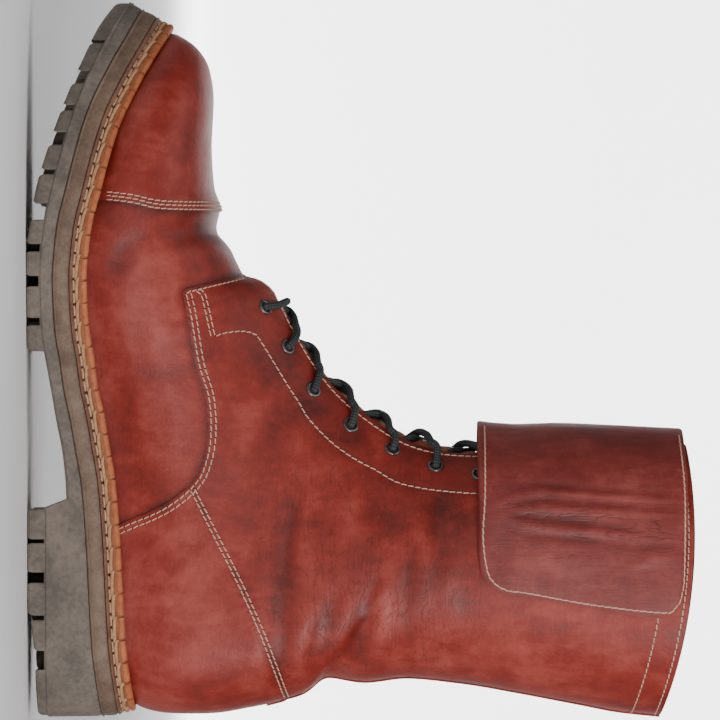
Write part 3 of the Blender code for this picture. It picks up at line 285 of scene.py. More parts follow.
def half_section(v, side, counts):
    """One side of a section, from the foot to the ridge."""
    row = [float(smooth(SECTION_PLACES, SECTION_DATA[:, c], v)) for c in range(13)]
    foot, foot_z, top, top_z, ridge, widest, out, inn, curl, low, high, gap, bow = row
    tx, tz, fx, fz, fy = LENGTH * top, HEIGHT * top_z, LENGTH * foot, HEIGHT * foot_z, 0.0
    if v < HEEL_ROW:
        half = FOOT_OUT if side > 0 else FOOT_IN
        fy = side * float(np.interp(fx, half[:, 0], half[:, 1]))
        fz = float(np.interp(fx, FOOT_OUT[:, 0], FOOT_OUT[:, 2])) + HEEL_CLIMB * max(0.0, v - HEEL_ROW + 0.5) ** 2 * 4
    centre = BALL_WIDTH * ridge * side
    wide = BALL_WIDTH * (out if side > 0 else -inn)
    reach = math.hypot(tx - fx, tz - fz)
    ux, uz = (tx - fx) / reach, (tz - fz) / reach
    dm = reach * widest
    p0 = np.array([0.0, fy])
    p1 = np.array([low * dm * (1 - curl), fy + low * (wide - fy) * curl])
    p2 = np.array([dm * (1 - low), wide])
    p3 = np.array([dm, wide])
    p4 = np.array([dm + high * (reach - dm), wide])
    p5 = np.array([reach, centre + high * (wide - centre)])
    p6 = np.array([reach, centre])
    fine = np.linspace(0, 1, 121)
    upper = bend_of(p3, p4, p5, p6, fine)
    length = np.concatenate([[0], np.cumsum(np.linalg.norm(np.diff(upper, axis=0), axis=1))])
    edge = np.interp(length[-1] - gap, length, fine)
    even = np.interp(np.linspace(0, length[-1] - gap, counts[1] + 1), length, fine)
    even[-1] = edge
    first = bend_of(p0, p1, p2, p3, np.linspace(0, 1, counts[0] + 1))
    second = bend_of(p3, p4, p5, p6, even)
    third = bend_of(p3, p4, p5, p6, np.linspace(edge, 1, counts[2] + 1))
    flat = np.concatenate([first, second[1:], third[1:]])
    share = flat[:, 0] / reach
    lifted = 4 * HEIGHT * bow * share * (1 - share)
    tab = TAB_SWELL * math.sin(math.pi * min(max(v - THROAT_ROW, 0.0), 1.0)) * np.clip((share - 0.55) / 0.35, 0, 1) ** 2
    x = fx + flat[:, 0] * ux - lifted * uz + tab * 0.84
    return np.stack([x, side * flat[:, 1], fz + flat[:, 0] * uz + lifted * ux + tab * 0.54], axis=1)


def surface(rows, counts):
    return np.array([
        np.concatenate([half_section(v, 1, counts), half_section(v, -1, counts)[::-1][1:]]) for v in rows
    ])


def normals_of(grid, rows):
    du, dv = np.gradient(grid, axis=1), np.gradient(grid, axis=0)
    for i, v in enumerate(rows):
        if v >= HEEL_ROW:
            du[i, 0] = du[i, -1] = grid[i, 1] - grid[i, -2]
            dv[i, 0] = dv[i, -1] = dv[i, 0] + dv[i, -1]
    n = np.cross(dv, du)
    return n / np.maximum(np.linalg.norm(n, axis=2), 1e-12)[:, :, None]


def even_rows(step):
    """Row numbers about one step apart on the surface, with the throat and heel rows among them."""
    fine = np.linspace(0, LAST_ROW, 6 * LAST_ROW + 1)
    rough = surface(fine, (4, 4, 2))
    gap = np.linalg.norm(np.diff(rough, axis=0), axis=2).mean(axis=1)
    run = np.concatenate([[0], np.cumsum(gap)])
    parts = []
    for first, last in ((0, THROAT_ROW), (THROAT_ROW, HEEL_ROW), (HEEL_ROW, LAST_ROW)):
        a, b = np.interp((first, last), fine, run)
        part = np.interp(np.linspace(a, b, int((b - a) / step) + 1), run, fine)
        part[0], part[-1] = first, last
        parts.append(part if first == 0 else part[1:])
    return np.concatenate(parts)


COUNTS = (46, 56, 12)
ROWS = even_rows(0.00125)
OUTER = surface(ROWS, COUNTS)
heel_ease = 0.5 * np.clip((ROWS - 15.2) / 1.5, 0, 1) * np.clip((21.5 - ROWS) / 1.5, 0, 1)
for _ in range(46):
    OUTER[1:-1] += heel_ease[1:-1, None, None] * ((OUTER[:-2] + OUTER[2:]) / 2 - OUTER[1:-1])
NORMAL = normals_of(OUTER, ROWS)
COLS = OUTER.shape[1]
MIDDLE = COLS // 2
LACING = (COUNTS[0] + COUNTS[1], COUNTS[0] + COUNTS[1] + 2 * COUNTS[2])
THROAT = int(np.argmin(abs(ROWS - THROAT_ROW)))
XS, ZS = OUTER[:, :, 0] * 1000, OUTER[:, :, 2] * 1000
OUTER_SIDE = OUTER[:, :, 1] >= 0
print("grid", OUTER.shape)


# Distances in the side view

def to_line(x, z, line):
    """Distance to a line of points, and how far along it the nearest place is."""
    line = np.asarray(line, float)
    best = np.full(x.shape, 1e9)
    along = np.zeros(x.shape)
    run = 0.0
    for (ax, az), (bx, bz) in zip(line[:-1], line[1:]):
        dx, dz = bx - ax, bz - az
        size = math.hypot(dx, dz)
        t = np.clip(((x - ax) * dx + (z - az) * dz) / (size * size), 0, 1)
        away = np.hypot(x - ax - t * dx, z - az - t * dz)
        nearer = away < best
        best = np.where(nearer, away, best)
        along = np.where(nearer, run + t * size, along)
        run += size
    return best, along / run


def within(x, z, outline):
    """Signed distance to a closed outline, positive inside."""
    closed = list(outline) + [outline[0]]
    best, _ = to_line(x, z, closed)
    inside = np.zeros(x.shape, bool)
    for (ax, az), (bx, bz) in zip(closed[:-1], closed[1:]):
        if az != bz:
            inside ^= ((az > z) != (bz > z)) & (x < (bx - ax) * (z - az) / (bz - az) + ax)
    return np.where(inside, best, -best)


def curve_through(points, count=80):
    """Smooth open curve through points."""
    p = np.array(points, float)
    p = np.concatenate([[2 * p[0] - p[1]], p, [2 * p[-1] - p[-2]]])
    out = []
    for i in range(1, len(p) - 2):
        for t in np.linspace(0, 1, max(3, count // (len(p) - 3)), endpoint=False):
            out.append(0.5 * (2 * p[i] + (p[i + 1] - p[i - 1]) * t
                              + (2 * p[i - 1] - 5 * p[i] + 4 * p[i + 1] - p[i + 2]) * t * t
                              + (3 * p[i] - p[i - 1] - 3 * p[i + 1] + p[i + 2]) * t**3))
    out.append(p[-2])
    return np.array(out)


def parallel(line, offset):
    """Line of points in the side view moved to its left by a distance."""
    line = np.asarray(line, float)
    along = np.gradient(line, axis=0)
    along /= np.linalg.norm(along, axis=1)[:, None]
    return line + np.stack([-along[:, 1], along[:, 0]], axis=1) * offset


# Folds of the leather: points in the side view, width and height in millimetres
ANKLE_FOLDS = [
    # points, width, height
    ([(8, 112), (22, 110.5), (45, 110.5), (70, 112.5), (96, 117)], 4.2, -2.0),
    ([(10, 104), (30, 102.5), (52, 103.5), (75, 106)], 4.0, 0.9),
    ([(14, 121), (24, 119.5), (36, 120.5), (50, 124)], 3.2, 1.3),
    ([(17, 130), (28, 128), (44, 131), (60, 138)], 3.4, -1.3),
    ([(20, 141), (34, 137.5), (50, 141)], 2.6, 0.6),
    ([(24, 147), (36, 146), (52, 149), (64, 154)], 3.0, -1.2),
    ([(22, 158), (34, 156.5), (50, 157), (64, 159)], 4.0, 1.6),
    ([(28, 167), (44, 165), (60, 166), (78, 170)], 3.2, -1.1),
    ([(60, 176), (72, 173.5), (84, 171.5), (96, 172)], 4.0, 1.3),
    ([(66, 184), (80, 181), (94, 180), (106, 183)], 2.8, -1.1),
    ([(38, 187), (50, 184), (62, 184), (74, 188)], 3.0, 0.7),
    ([(60, 122), (76, 119), (92, 122), (106, 128)], 5.0, 1.1),
    ([(80, 133), (96, 130), (110, 134)], 4.0, -0.8),
    ([(76, 145), (90, 142), (102, 145)], 5.0, 0.9),
    ([(80, 157), (92, 154), (103, 156)], 3.4, -0.8),
    ([(104, 92), (122, 96), (140, 104)], 6.0, 0.8),
    ([(112, 103), (128, 107), (146, 111)], 5.0, -0.6),
    ([(118, 87), (136, 88), (154, 92)], 4.0, -0.5),
]
FAN_FOLDS = [
    ([(30, 133), (37, 138), (46, 143)], 0.8, -0.42),
    ([(28, 135.5), (36, 141), (47, 147)], 0.8, -0.42),
    ([(33, 131.5), (41, 136), (52, 141)], 0.8, -0.36),
    ([(36, 131), (45, 134), (56, 138)], 0.7, -0.34),
    ([(27, 139), (35, 144), (44, 149)], 0.8, -0.36),
    ([(38, 140), (48, 146), (56, 151)], 0.7, -0.30),
    ([(61, 176), (70, 172), (80, 170)], 0.8, -0.36),
    ([(64, 179), (73, 174.5), (83, 172)], 0.8, -0.36),
    ([(66, 183), (75, 178), (86, 175)], 0.8, -0.34),
    ([(70, 186), (79, 181), (90, 178.5)], 0.8, -0.30),
    ([(76, 115), (90, 118), (104, 124)], 0.9, -0.30),
    ([(20, 114), (28, 116.5), (36, 122)], 0.8, -0.30),
]
VAMP_FOLDS = [
    ([(217, 90), (216.5, 80), (214, 70), (210, 61)], 4.4, -1.5),
    ([(213, 66), (210, 58), (206, 50)], 4.5, -0.5),
    ([(209, 92), (207.5, 80), (204.0, 68), (200, 58)], 4.0, 0.7),
    ([(203, 94), (200.5, 82), (197.0, 72)], 2.6, -0.45),
    ([(210, 50), (205, 44), (199, 39), (192, 36)], 5.2, -0.75),
    ([(196, 44), (188, 46), (178, 44)], 5.0, 0.5),
    ([(197, 92), (194.5, 82), (191.5, 72)], 1.8, -0.35),
    ([(213, 56), (210, 48), (207, 41)], 2.4, -0.35),
    ([(198, 58), (193, 50), (188, 44)], 2.6, -0.5),
    ([(186, 60), (176, 57), (164, 58)], 5.0, 0.6),
    ([(176, 49), (160, 50), (144, 54)], 5.0, -0.5),
    ([(150, 63), (136, 66), (120, 66)], 5.0, 0.5),
]


def fold_height(x, z, folds, swing=1.0):
    """Height of soft folds at places in the side view, in millimetres."""
    total = np.zeros(x.shape)
    for points, width, height in folds:
        away, along = to_line(x, z, curve_through(points, 16))
        fade = np.sin(np.pi * np.clip(along, 0.02, 0.98)) ** 0.6
        total += swing * height * fade * np.exp(-((away / width) ** 2))
    return total


EYELET_PLACES = [(LENGTH * a * 1000, HEIGHT * u * 1000) for a, u in EYELETS]
FOLD = fold_height(XS, ZS, ANKLE_FOLDS)
FOLD += np.where(OUTER_SIDE, 1.0, 0.8) * fold_height(XS, ZS, FAN_FOLDS)
VAMP_FOLD = fold_height(XS, ZS, VAMP_FOLDS)
for relief in (FOLD, VAMP_FOLD):
    for _ in range(3):
        relief[1:-1] += ((relief[:-2] + relief[2:]) / 2 - relief[1:-1]) * 0.5
        relief[:, 1:-1] += ((relief[:, :-2] + relief[:, 2:]) / 2 - relief[:, 1:-1]) * 0.5
near_eyelets, _ = to_line(XS, ZS, EYELET_PLACES)
CALM = np.clip((near_eyelets - 7) / 9, 0, 1)
calm_back = np.clip(OUTER[:, :, 0] / 0.02, 0.35, 1)
FOLD = FOLD * CALM * calm_back
FOOT_RUN = np.clip(np.linalg.norm(OUTER - OUTER[:, :1], axis=2), 0, None)
near_sole = np.minimum(
    np.linalg.norm(OUTER - OUTER[:, :1], axis=2), np.linalg.norm(OUTER - OUTER[:, -1:], axis=2)
)
low_rows = np.clip((HEEL_ROW + 1.5 - ROWS) / 2, 0, 1)[:, None]
SOLE_CALM = 1 - low_rows * np.exp(-((near_sole / 0.006) ** 2))
FOLD *= SOLE_CALM
VAMP_FOLD *= SOLE_CALM

# Outlines of the leather pieces in the side view
quarter_curve = curve_through(QUARTER_SEAM, 120)
tab_curve = curve_through([QUARTER_SEAM[-1], (187.6, 71.6)] + TAB_FRONT, 30)
QUARTER_OUTLINE = [(82.0, 0.0)] + [tuple(p) for p in quarter_curve] + [tuple(p) for p in tab_curve[1:]]
QUARTER_OUTLINE += [(240.0, 130.0), (240.0, 330.0), (-60.0, 330.0), (-60.0, 0.0)]
cap_curve = curve_through(CAP_SEAM, 40)
CAP_OUTLINE = [(229.6, 0.0)] + [tuple(p) for p in cap_curve] + [(221.0, 110.0), (340.0, 110.0), (340.0, 0.0)]
QUARTER_FIELD = within(XS, ZS, QUARTER_OUTLINE) + 1.8
CAP_FIELD = within(XS, ZS, CAP_OUTLINE)
VAMP_FIELD = np.minimum(9.0 - QUARTER_FIELD, 7.0 - CAP_FIELD)
counter_side = np.sign(within(XS, ZS, COUNTER_LINE + [(-8.0, 0.0), (100.8, 0.0)]))
counter_away = to_line(XS, ZS, COUNTER_LINE)[0] * counter_side
eyestay_away = to_line(XS, ZS, curve_through(EYESTAY_ROW, 60))[0]


def groove(away, width, depth):
    return -depth * np.exp(-((away / width) ** 2))


QUARTER_RELIEF = FOLD + 0.22 * np.clip(counter_away / 1.6, -1, 1) * (ROWS[:, None] > 11.5)
QUARTER_RELIEF += groove(counter_away, 0.8, 0.35) + groove(eyestay_away, 1.1, 0.28)
CAP_RELIEF = groove(CAP_FIELD - 2.4, 0.8, 0.15) + groove(CAP_FIELD - 4.0, 0.9, 0.22)


# Darker and paler places of the leather: painted highlight on the heel, painted shade in the dent behind the toe cap,
# and other darker and paler patches: place in the side view, reach, shade
LEATHER_TONE_AND_PAINTED_LIGHT_SPOTS = [
    # (210, 78), (203, 41) and (196, 84): painted shade in the dent behind the toe cap; (206, 58): painted highlight
    # between them
    (252, 72, 16, -0.02), (275, 66, 14, 0.04), (262, 50, 13, 0.08), (236, 62, 8, 0.02), (210, 78, 11, -0.16),
    (203, 41, 8, -0.10), (206, 58, 8, 0.07), (196, 84, 10, -0.10), (168, 52, 14, 0.07), (140, 58, 18, 0.05),
    (178, 93, 12, -0.15), (158, 108, 11, -0.17), (138, 124, 11, -0.17), (122, 142, 10, -0.16), (112, 162, 10, -0.15),
    (106, 186, 10, -0.14), (140, 98, 14, 0.03), (120, 118, 10, 0.10), (112, 96, 14, -0.10), (128, 112, 14, -0.08), (96, 150, 14, -0.06), (84, 108, 14, -0.04),
    # (28, 73) and (28, 48): painted highlight on the heel
    (60, 118, 12, -0.06), (52, 66, 14, 0.08), (28, 73, 9, 0.15), (28, 48, 6, 0.08), (78, 56, 10, -0.03), (38, 124, 8, 0.08),
    (46, 158, 10, 0.10), (60, 172, 10, -0.06), (84, 160, 12, -0.05), (92, 184, 10, -0.08), (40, 200, 18, 0.04),
    (30, 240, 18, 0.04), (24, 268, 12, 0.06), (58, 194, 10, -0.05),
]
TONE_AND_PAINTED_LIGHT_SPOTS = sum(
    shade * np.exp(-(((XS - x) / reach) ** 2 + ((ZS - z) / reach) ** 2)) for x, z, reach, shade in LEATHER_TONE_AND_PAINTED_LIGHT_SPOTS
)


def painted_light_tone_of(relief, *edges):
    """Shade of the leather with painted light: painted shade in folds and along edges, painted highlight on ridges, on
    top of the spots.
    """
    tone = 0.5 + np.clip(relief * 0.11, -0.28, 0.20) + TONE_AND_PAINTED_LIGHT_SPOTS
    for away, width, depth in edges:
        tone = tone - depth * np.exp(-((np.abs(away) / width) ** 2))
    # Painted shade where the upper meets the sole
    return tone - 0.16 * np.exp(-((near_sole * 1000 / 5.0) ** 2)) * low_rows


def layer(level, relief, field, tone):
    """Outer points, points below and shade of a leather piece, for each place of the grid."""
    edge = np.clip(field / (EDGE_ROUND * 1000), 0, 1)
    drop = 0.45 * (1 - edge) ** 2 * 0.001
    high = OUTER + NORMAL * (level + relief * 0.001 - drop)[:, :, None]
    low = OUTER - NORMAL * 0.0016
    return np.concatenate([high, low, tone[:, :, None]], axis=2)


# Meshes

def place(points):
    return np.asarray(points, float) - (FRAME_X, FRAME_Y, 0.0)


def piece(name, verts, faces, finish, sharp=35.0, tone=None, uv=None, slot=None):
    """Mesh object from points in working lengths."""
    mesh = bpy.data.meshes.new(name)
    mesh.from_pydata(place(verts).tolist(), [], faces)
    mesh.validate()
    mesh.polygons.foreach_set("use_smooth", [True] * len(mesh.polygons))
    if sharp:
        mesh.set_sharp_from_angle(angle=math.radians(sharp))
    if tone is not None:
        mesh.attributes.new("tone", "FLOAT", "POINT").data.foreach_set("value", np.asarray(tone, np.float32))
    if uv is not None:
        layer_uv = mesh.uv_layers.new(name="UVMap")
        for loop in mesh.loops:
            layer_uv.data[loop.index].uv = uv[loop.vertex_index]
    obj = bpy.data.objects.new(name, mesh)
    bpy.context.scene.collection.objects.link(obj)
    if finish:
        mesh.materials.append(finish)
    return obj


def trimmed(data, field, keep, joined=True):
    """Part of the grid where the field is positive, cut along its zero line.

    Gives the points, their data, the triangles and the edges of the cut.
    """
    rows, cols = field.shape
    number = np.arange(rows * cols).reshape(rows, cols)
    if joined:
        closed = ROWS[:rows] >= HEEL_ROW
        number[closed, cols - 1] = number[closed, 0]
    flat = data.reshape(rows * cols, -1)
    f = field.reshape(-1)
    quads = np.stack([number[:-1, :-1], number[:-1, 1:], number[1:, 1:], number[1:, :-1]], axis=-1)[keep]
    tris = np.concatenate([quads[:, [0, 1, 2]], quads[:, [0, 2, 3]]])
    count = (f[tris] > 0).sum(axis=1)
    faces = tris[count == 3].tolist()
    extra, made, cut = [], {}, []

    def between(a, b):
        key = (min(a, b), max(a, b))
        if key not in made:
            t = f[a] / (f[a] - f[b])
            made[key] = len(flat) + len(extra)
            extra.append(flat[a] * (1 - t) + flat[b] * t)
        return made[key]

    for tri in tris[(count == 1) | (count == 2)].tolist():
        signs = [f[t] > 0 for t in tri]
        shape = []
        for k in range(3):
            a, b = tri[k], tri[(k + 1) % 3]
            if signs[k]:
                shape.append(a)
            if signs[k] != signs[(k + 1) % 3]:
                shape.append(between(a, b))
        new = [q for q in shape if q >= len(flat)]
        at = shape.index(new[0])
        if shape[(at + 1) % len(shape)] == new[1]:
            cut.append((new[0], new[1]))
        else:
            cut.append((new[1], new[0]))
        for k in range(1, len(shape) - 1):
            faces.append([shape[0], shape[k], shape[k + 1]])
    everything = np.concatenate([flat, np.array(extra).reshape(-1, flat.shape[1])]) if extra else flat
    return everything, faces, cut


def compact(points, faces):
    """Only the points that the faces use."""
    used = sorted({v for face in faces for v in face})
    fresh = {old: new for new, old in enumerate(used)}
    return points[used], [[fresh[v] for v in face] for face in faces]


def leather_piece(name, data, field, keep, finish):
    """Trimmed layer of leather with its cut edge turned down."""
    points, faces, cut = trimmed(data, field, keep)
    high, low, tone = points[:, :3], points[:, 3:6], points[:, 6]
    total = len(points)
    for a, b in cut:
        faces.append([b, a, a + total, b + total])
    every = np.concatenate([high, low])
    shade = np.concatenate([tone, tone * 0 + 0.08])
    packed, faces = compact(np.concatenate([every, shade[:, None]], axis=1), faces)
    faces = [[v for k, v in enumerate(face) if v not in face[:k]] for face in faces]
    return piece(name, packed[:, :3], [face for face in faces if len(face) > 2], finish, 40.0, packed[:, 3])


def tube(points, radius, sides, closed_ends=True):
    """Round cord through points with even frames, and its own UV map."""
    points = np.asarray(points, float)
    along = np.gradient(points, axis=0)
    along /= np.linalg.norm(along, axis=1)[:, None]
    across = np.cross(along[0], (0.31, 0.2, 0.93))
    verts, uv = [], []
    run = 0.0
    for i, (p, d) in enumerate(zip(points, along)):
        across = across - d * np.dot(across, d)
        across /= np.linalg.norm(across)
        other = np.cross(d, across)
        run += 0.0 if i == 0 else float(np.linalg.norm(p - points[i - 1]))
        r = radius[i] if hasattr(radius, "__len__") else radius
        for k in range(sides + 1):
            a = 2 * math.pi * k / sides
            verts.append(p + (across * math.cos(a) + other * math.sin(a)) * r)
            uv.append((run * 1000, k / sides))
    faces = []
    for i in range(len(points) - 1):
        for k in range(sides):
            a = i * (sides + 1) + k
            faces.append([a, a + 1, a + sides + 2, a + sides + 1])
    return verts, faces, uv


# Finishes

class Value:
    """A shader socket that can be used in sums."""

    def __init__(self, finish, socket):
        self.finish = finish
        self.socket = socket

    def made(self, operation, first, second=0.0):
        return self.finish.node("ShaderNodeMath", {"operation": operation}, {0: first, 1: second})

    def __add__(self, other):
        return self.made("ADD", self, other)

    __radd__ = __add__

    def __sub__(self, other):
        return self.made("SUBTRACT", self, other)

    def __rsub__(self, other):
        return self.made("SUBTRACT", other, self)

    def __mul__(self, other):
        return self.made("MULTIPLY", self, other)

    __rmul__ = __mul__

    def __truediv__(self, other):
        return self.made("DIVIDE", self, other)

    def __pow__(self, other):
        return self.made("POWER", self, other)


class Finish:
    """A material built from expressions."""

    def __init__(self, name):
        self.material = bpy.data.materials.new(name)
        self.material.use_nodes = True
        self.tree = self.material.node_tree
        self.shader = self.tree.nodes["Principled BSDF"]

    def node(self, kind, settings=None, inputs=None, output=0):
        node = self.tree.nodes.new(kind)
        for key, value in (settings or {}).items():
            if key == "stops":
                ramp = node.color_ramp
                while len(ramp.elements) < len(value):
                    ramp.elements.new(0.5)
                for element, (at, colour) in zip(ramp.elements, value):
                    element.position = at
                    element.color = (*colour, 1.0) if hasattr(colour, "__len__") else (colour, colour, colour, 1.0)
            else:
                setattr(node, key, value)
        for key, value in (inputs or {}).items():
            self.feed(node.inputs[key], value)
        return Value(self, node.outputs[output])

    def feed(self, socket, value):
        if isinstance(value, Value):
            self.tree.links.new(value.socket, socket)
        elif hasattr(value, "__len__") and socket.type == "RGBA":
            socket.default_value = (*value[:3], 1.0)
        else:
            socket.default_value = value

    def object_place(self):
        return self.node("ShaderNodeTexCoord", output=3)

    def scaled(self, place, scale, turn=(0, 0, 0)):
        return self.node("ShaderNodeMapping", {}, {"Vector": place, "Scale": scale, "Rotation": turn})

    def noise(self, place, scale, detail=3.0, roughness=0.55, distortion=0.0):
        return self.node("ShaderNodeTexNoise", {}, {
            "Vector": place, "Scale": scale, "Detail": detail, "Roughness": roughness, "Distortion": distortion})

    def cells(self, place, scale, feature="F1"):
        return self.node("ShaderNodeTexVoronoi", {"feature": feature}, {"Vector": place, "Scale": scale})

    def ramp(self, value, stops):
        return self.node("ShaderNodeValToRGB", {"stops": stops}, {0: value})

    def span(self, value, low, high, to_low=0.0, to_high=1.0):
        return self.node("ShaderNodeMapRange", {"clamp": True, "interpolation_type": "SMOOTHSTEP"},
                         {0: value, 1: low, 2: high, 3: to_low, 4: to_high})

    def blend(self, factor, first, second, how="MIX"):
        return self.node("ShaderNodeMix", {"data_type": "RGBA", "blend_type": how},
                         {0: factor, 6: first, 7: second}, 2)

    def attribute(self, name):
        return self.node("ShaderNodeAttribute", {"attribute_name": name}, {}, 2)

    def bump(self, height, strength, distance, normal=None):
        inputs = {"Height": height, "Strength": strength, "Distance": distance}
        if normal is not None:
            inputs["Normal"] = normal
        return self.node("ShaderNodeBump", {}, inputs)

    def set(self, **values):
        for key, value in values.items():
            self.feed(self.shader.inputs[key.replace("_", " ")], value)
        return self.material


def leather(name, deep, body, pale, grain=1.0, gloss=0.45, coat=0.05, toned=True, lengthwise=0.0):
    """Oiled pull-up leather: mottled colour, fine grain and small creases, with painted shade along the creases."""
    f = Finish(name)
    place = f.object_place()
    clouds = f.noise(place, 22.0, 4.0, 0.6, 0.4)
    blots = f.noise(place, 75.0, 4.0, 0.62)
    streaks = f.noise(f.scaled(place, (1.0, 1.0, 0.35), (0.0, 0.5, 0.0)), 160.0, 3.0, 0.6, 0.6)
    fine = f.noise(place, 620.0, 2.0, 0.6)
    shade = clouds * 0.9 + blots * 0.75 + streaks * 0.45 + fine * 0.18 - 0.64
    if toned:
        # The attribute brings the painted shade and painted highlight of folds, edges, spots and the sole line into the
        # colour
        shade = shade + (f.attribute("tone") - 0.5) * 1.5
    base = f.ramp(shade, [(0.0, deep), (0.47, body), (0.95, pale)])
    scuff = f.span(f.noise(f.scaled(place, (0.5, 1.0, 1.3), (0.2, 0.4, 0.1)), 48.0, 6.0, 0.68), 0.58, 0.74)
    base = f.blend(scuff * 0.22, base, pale)
    pores = f.cells(place, 1150.0)
    pebble = f.cells(place, 520.0)
    rough = f.span(clouds + blots * 0.5, 0.55, 1.0, gloss, gloss + 0.16)
    wrinkle = f.noise(f.scaled(place, (0.45, 0.6, 2.0), (0.0, 0.25, 0.3)), 210.0, 5.0, 0.62, 0.9)
    height = pores * 0.25 + pebble * 0.3 + wrinkle * 1.1 + fine * 0.4
    x = f.node("ShaderNodeSeparateXYZ", {}, {0: place}, 0)
    z = f.node("ShaderNodeSeparateXYZ", {}, {0: place}, 2)
    if lengthwise:
        upright = f.noise(f.scaled(place, (1.0, 1.0, 0.10)), 330.0, 4.0, 0.6, 0.5)
        height = height * 0.6 + upright * lengthwise
        lines = f.noise(f.scaled(place, (1.0, 1.0, 0.11)), 170.0, 3.0, 0.6, 0.7)
        zone = f.span(x, -0.092, -0.080) * f.span(x, -0.060, -0.048, 1.0, 0.0) * f.span(z, 0.202, 0.215)
        zone = zone + 0.12
    else:
        lines = f.noise(f.scaled(place, (0.35, 0.5, 1.7), (0.0, 0.32, 0.25)), 135.0, 4.0, 0.55, 0.5)
        zone = f.span(z, 0.088, 0.125) * f.span(z, 0.165, 0.215, 1.0, 0.0) * f.span(x, -0.060, -0.010, 1.0, 0.1)
        zone = zone * 0.85 + 0.10
    crease = f.span((lines - 0.5).made("ABSOLUTE", lines - 0.5), 0.0, 0.020, 1.0, 0.0) * zone
    height = height - crease * 1.3
    # Painted shade: the colour is drawn towards the deep brown along the fine creases
    base = f.blend(crease * 0.42, base, deep)
    normal = f.bump(height, 0.24 * grain, 0.0005)
    soft = f.bump(blots, 0.25 * grain, 0.0012, normal)
    return f.set(Base_Color=base, Roughness=rough, Normal=soft, Coat_Weight=coat, Coat_Roughness=0.42,
                 Specular_IOR_Level=0.32)


def plain(name, colour, second, roughness, scale, grain, depth, metallic=0.0):
    """Mottled matt finish with a grain of its own."""
    f = Finish(name)
    place = f.object_place()
    large = f.noise(place, scale, 5.0, 0.62)
    small = f.noise(place, scale * 9.0, 3.0, 0.6)
    base = f.blend(f.span(large + small * 0.5, 0.5, 1.0), colour, second)
    rough = f.span(large, 0.3, 0.7, roughness - 0.06, roughness + 0.08)
    normal = f.bump(small + large * 0.6, grain, depth)
    return f.set(Base_Color=base, Roughness=rough, Normal=normal, Metallic=metallic)


LEATHER = leather("oiled_upper_leather", (0.080, 0.0080, 0.0056), (0.250, 0.0225, 0.0140), (0.42, 0.080, 0.060))
FLAP_LEATHER = leather("oiled_flap_leather", (0.082, 0.0100, 0.0088), (0.192, 0.0260, 0.0215), (0.32, 0.070, 0.058), 1.0, 0.44,
                       lengthwise=2.2)
LINING = plain("lining_leather", (0.36, 0.21, 0.12), (0.25, 0.13, 0.07), 0.72, 60.0, 0.3, 0.0004)
EDGE_LEATHER = plain("cut_leather_edge", (0.19, 0.085, 0.048), (0.10, 0.042, 0.026), 0.85, 240.0, 0.5, 0.0004)
TONGUE_LEATHER = leather("tongue_leather_oiled", (0.16, 0.035, 0.02), (0.33, 0.10, 0.055), (0.47, 0.20, 0.12), 0.9, 0.48, 0.03, False)
THREAD = plain("waxed_thread", (0.54, 0.29, 0.20), (0.72, 0.47, 0.36), 0.66, 900.0, 0.3, 0.0002)
WELT_THREAD = plain("linen_welt_thread", (0.40, 0.22, 0.12), (0.60, 0.40, 0.24), 0.72, 900.0, 0.4, 0.0002)
RUBBER = plain("worn_rubber", (0.095, 0.078, 0.064), (0.205, 0.165, 0.135), 0.78, 55.0, 0.35, 0.0005)
MIDSOLE = plain("midsole_edge", (0.205, 0.135, 0.090), (0.115, 0.068, 0.046), 0.62, 80.0, 0.4, 0.0005)
WELT_LEATHER = plain("welt_strip", (0.125, 0.040, 0.024), (0.24, 0.115, 0.066), 0.58, 120.0, 0.4, 0.0005)
BRAID_CORE = plain("braid_core", (0.22, 0.070, 0.030), (0.36, 0.140, 0.062), 0.75, 200.0, 0.4, 0.0004)
BRAID_LUMPS = plain("braid_lumps_leather", (0.36, 0.080, 0.024), (0.52, 0.165, 0.058), 0.55, 260.0, 0.4, 0.0004)
BRAID_STRANDS = plain("braid_strands_linen", (0.40, 0.17, 0.075), (0.56, 0.33, 0.18), 0.70, 500.0, 0.5, 0.0003)
HOLE = plain("needle_hole_shadow", (0.030, 0.012, 0.008), (0.05, 0.02, 0.014), 0.95, 200.0, 0.1, 0.0002)
INSOLE_LEATHER = plain("insole_leather_worn", (0.50, 0.33, 0.20), (0.36, 0.22, 0.13), 0.75, 45.0, 0.3, 0.0004)
METAL = plain("eyelet_gunmetal", (0.105, 0.11, 0.115), (0.23, 0.235, 0.245), 0.30, 500.0, 0.1, 0.0001, 1.0)


def lace_finish():
    """Dark round lace with a braided weave along its own map."""
    f = Finish("braided_lace_cord")
    map_place = f.node("ShaderNodeUVMap", {"uv_map": "UVMap"})
    parts = f.node("ShaderNodeSeparateXYZ", {}, {0: map_place})
    along = Value(f, parts.socket.node.outputs[0])
    around = Value(f, parts.socket.node.outputs[1])
    one = (along * 2.6 + around * 25.1327)
    two = (along * 2.6 - around * 25.1327)
    weave = f.node("ShaderNodeMath", {"operation": "SINE"}, {0: one}) * f.node("ShaderNodeMath", {"operation": "SINE"}, {0: two})
    fuzz = f.noise(f.object_place(), 900.0, 3.0, 0.6)
    # Painted shade in the grooves of the weave and painted highlight on its crowns: the colour follows the weave's
    # height
    base = f.blend(f.span(weave + fuzz, -0.4, 1.4), (0.010, 0.013, 0.013), (0.048, 0.058, 0.058))
    return f.set(Base_Color=base, Roughness=0.78, Normal=f.bump(weave + fuzz * 0.5, 0.6, 0.0004))


LACE = lace_finish()

# Leather of the upper
every_cell = np.ones((len(ROWS) - 1, COLS - 1), bool)
open_front = every_cell.copy()
open_front[THROAT:, LACING[0] : LACING[1]] = False
before_heel = every_cell.copy()
before_heel[ROWS[:-1] > 16.5] = False
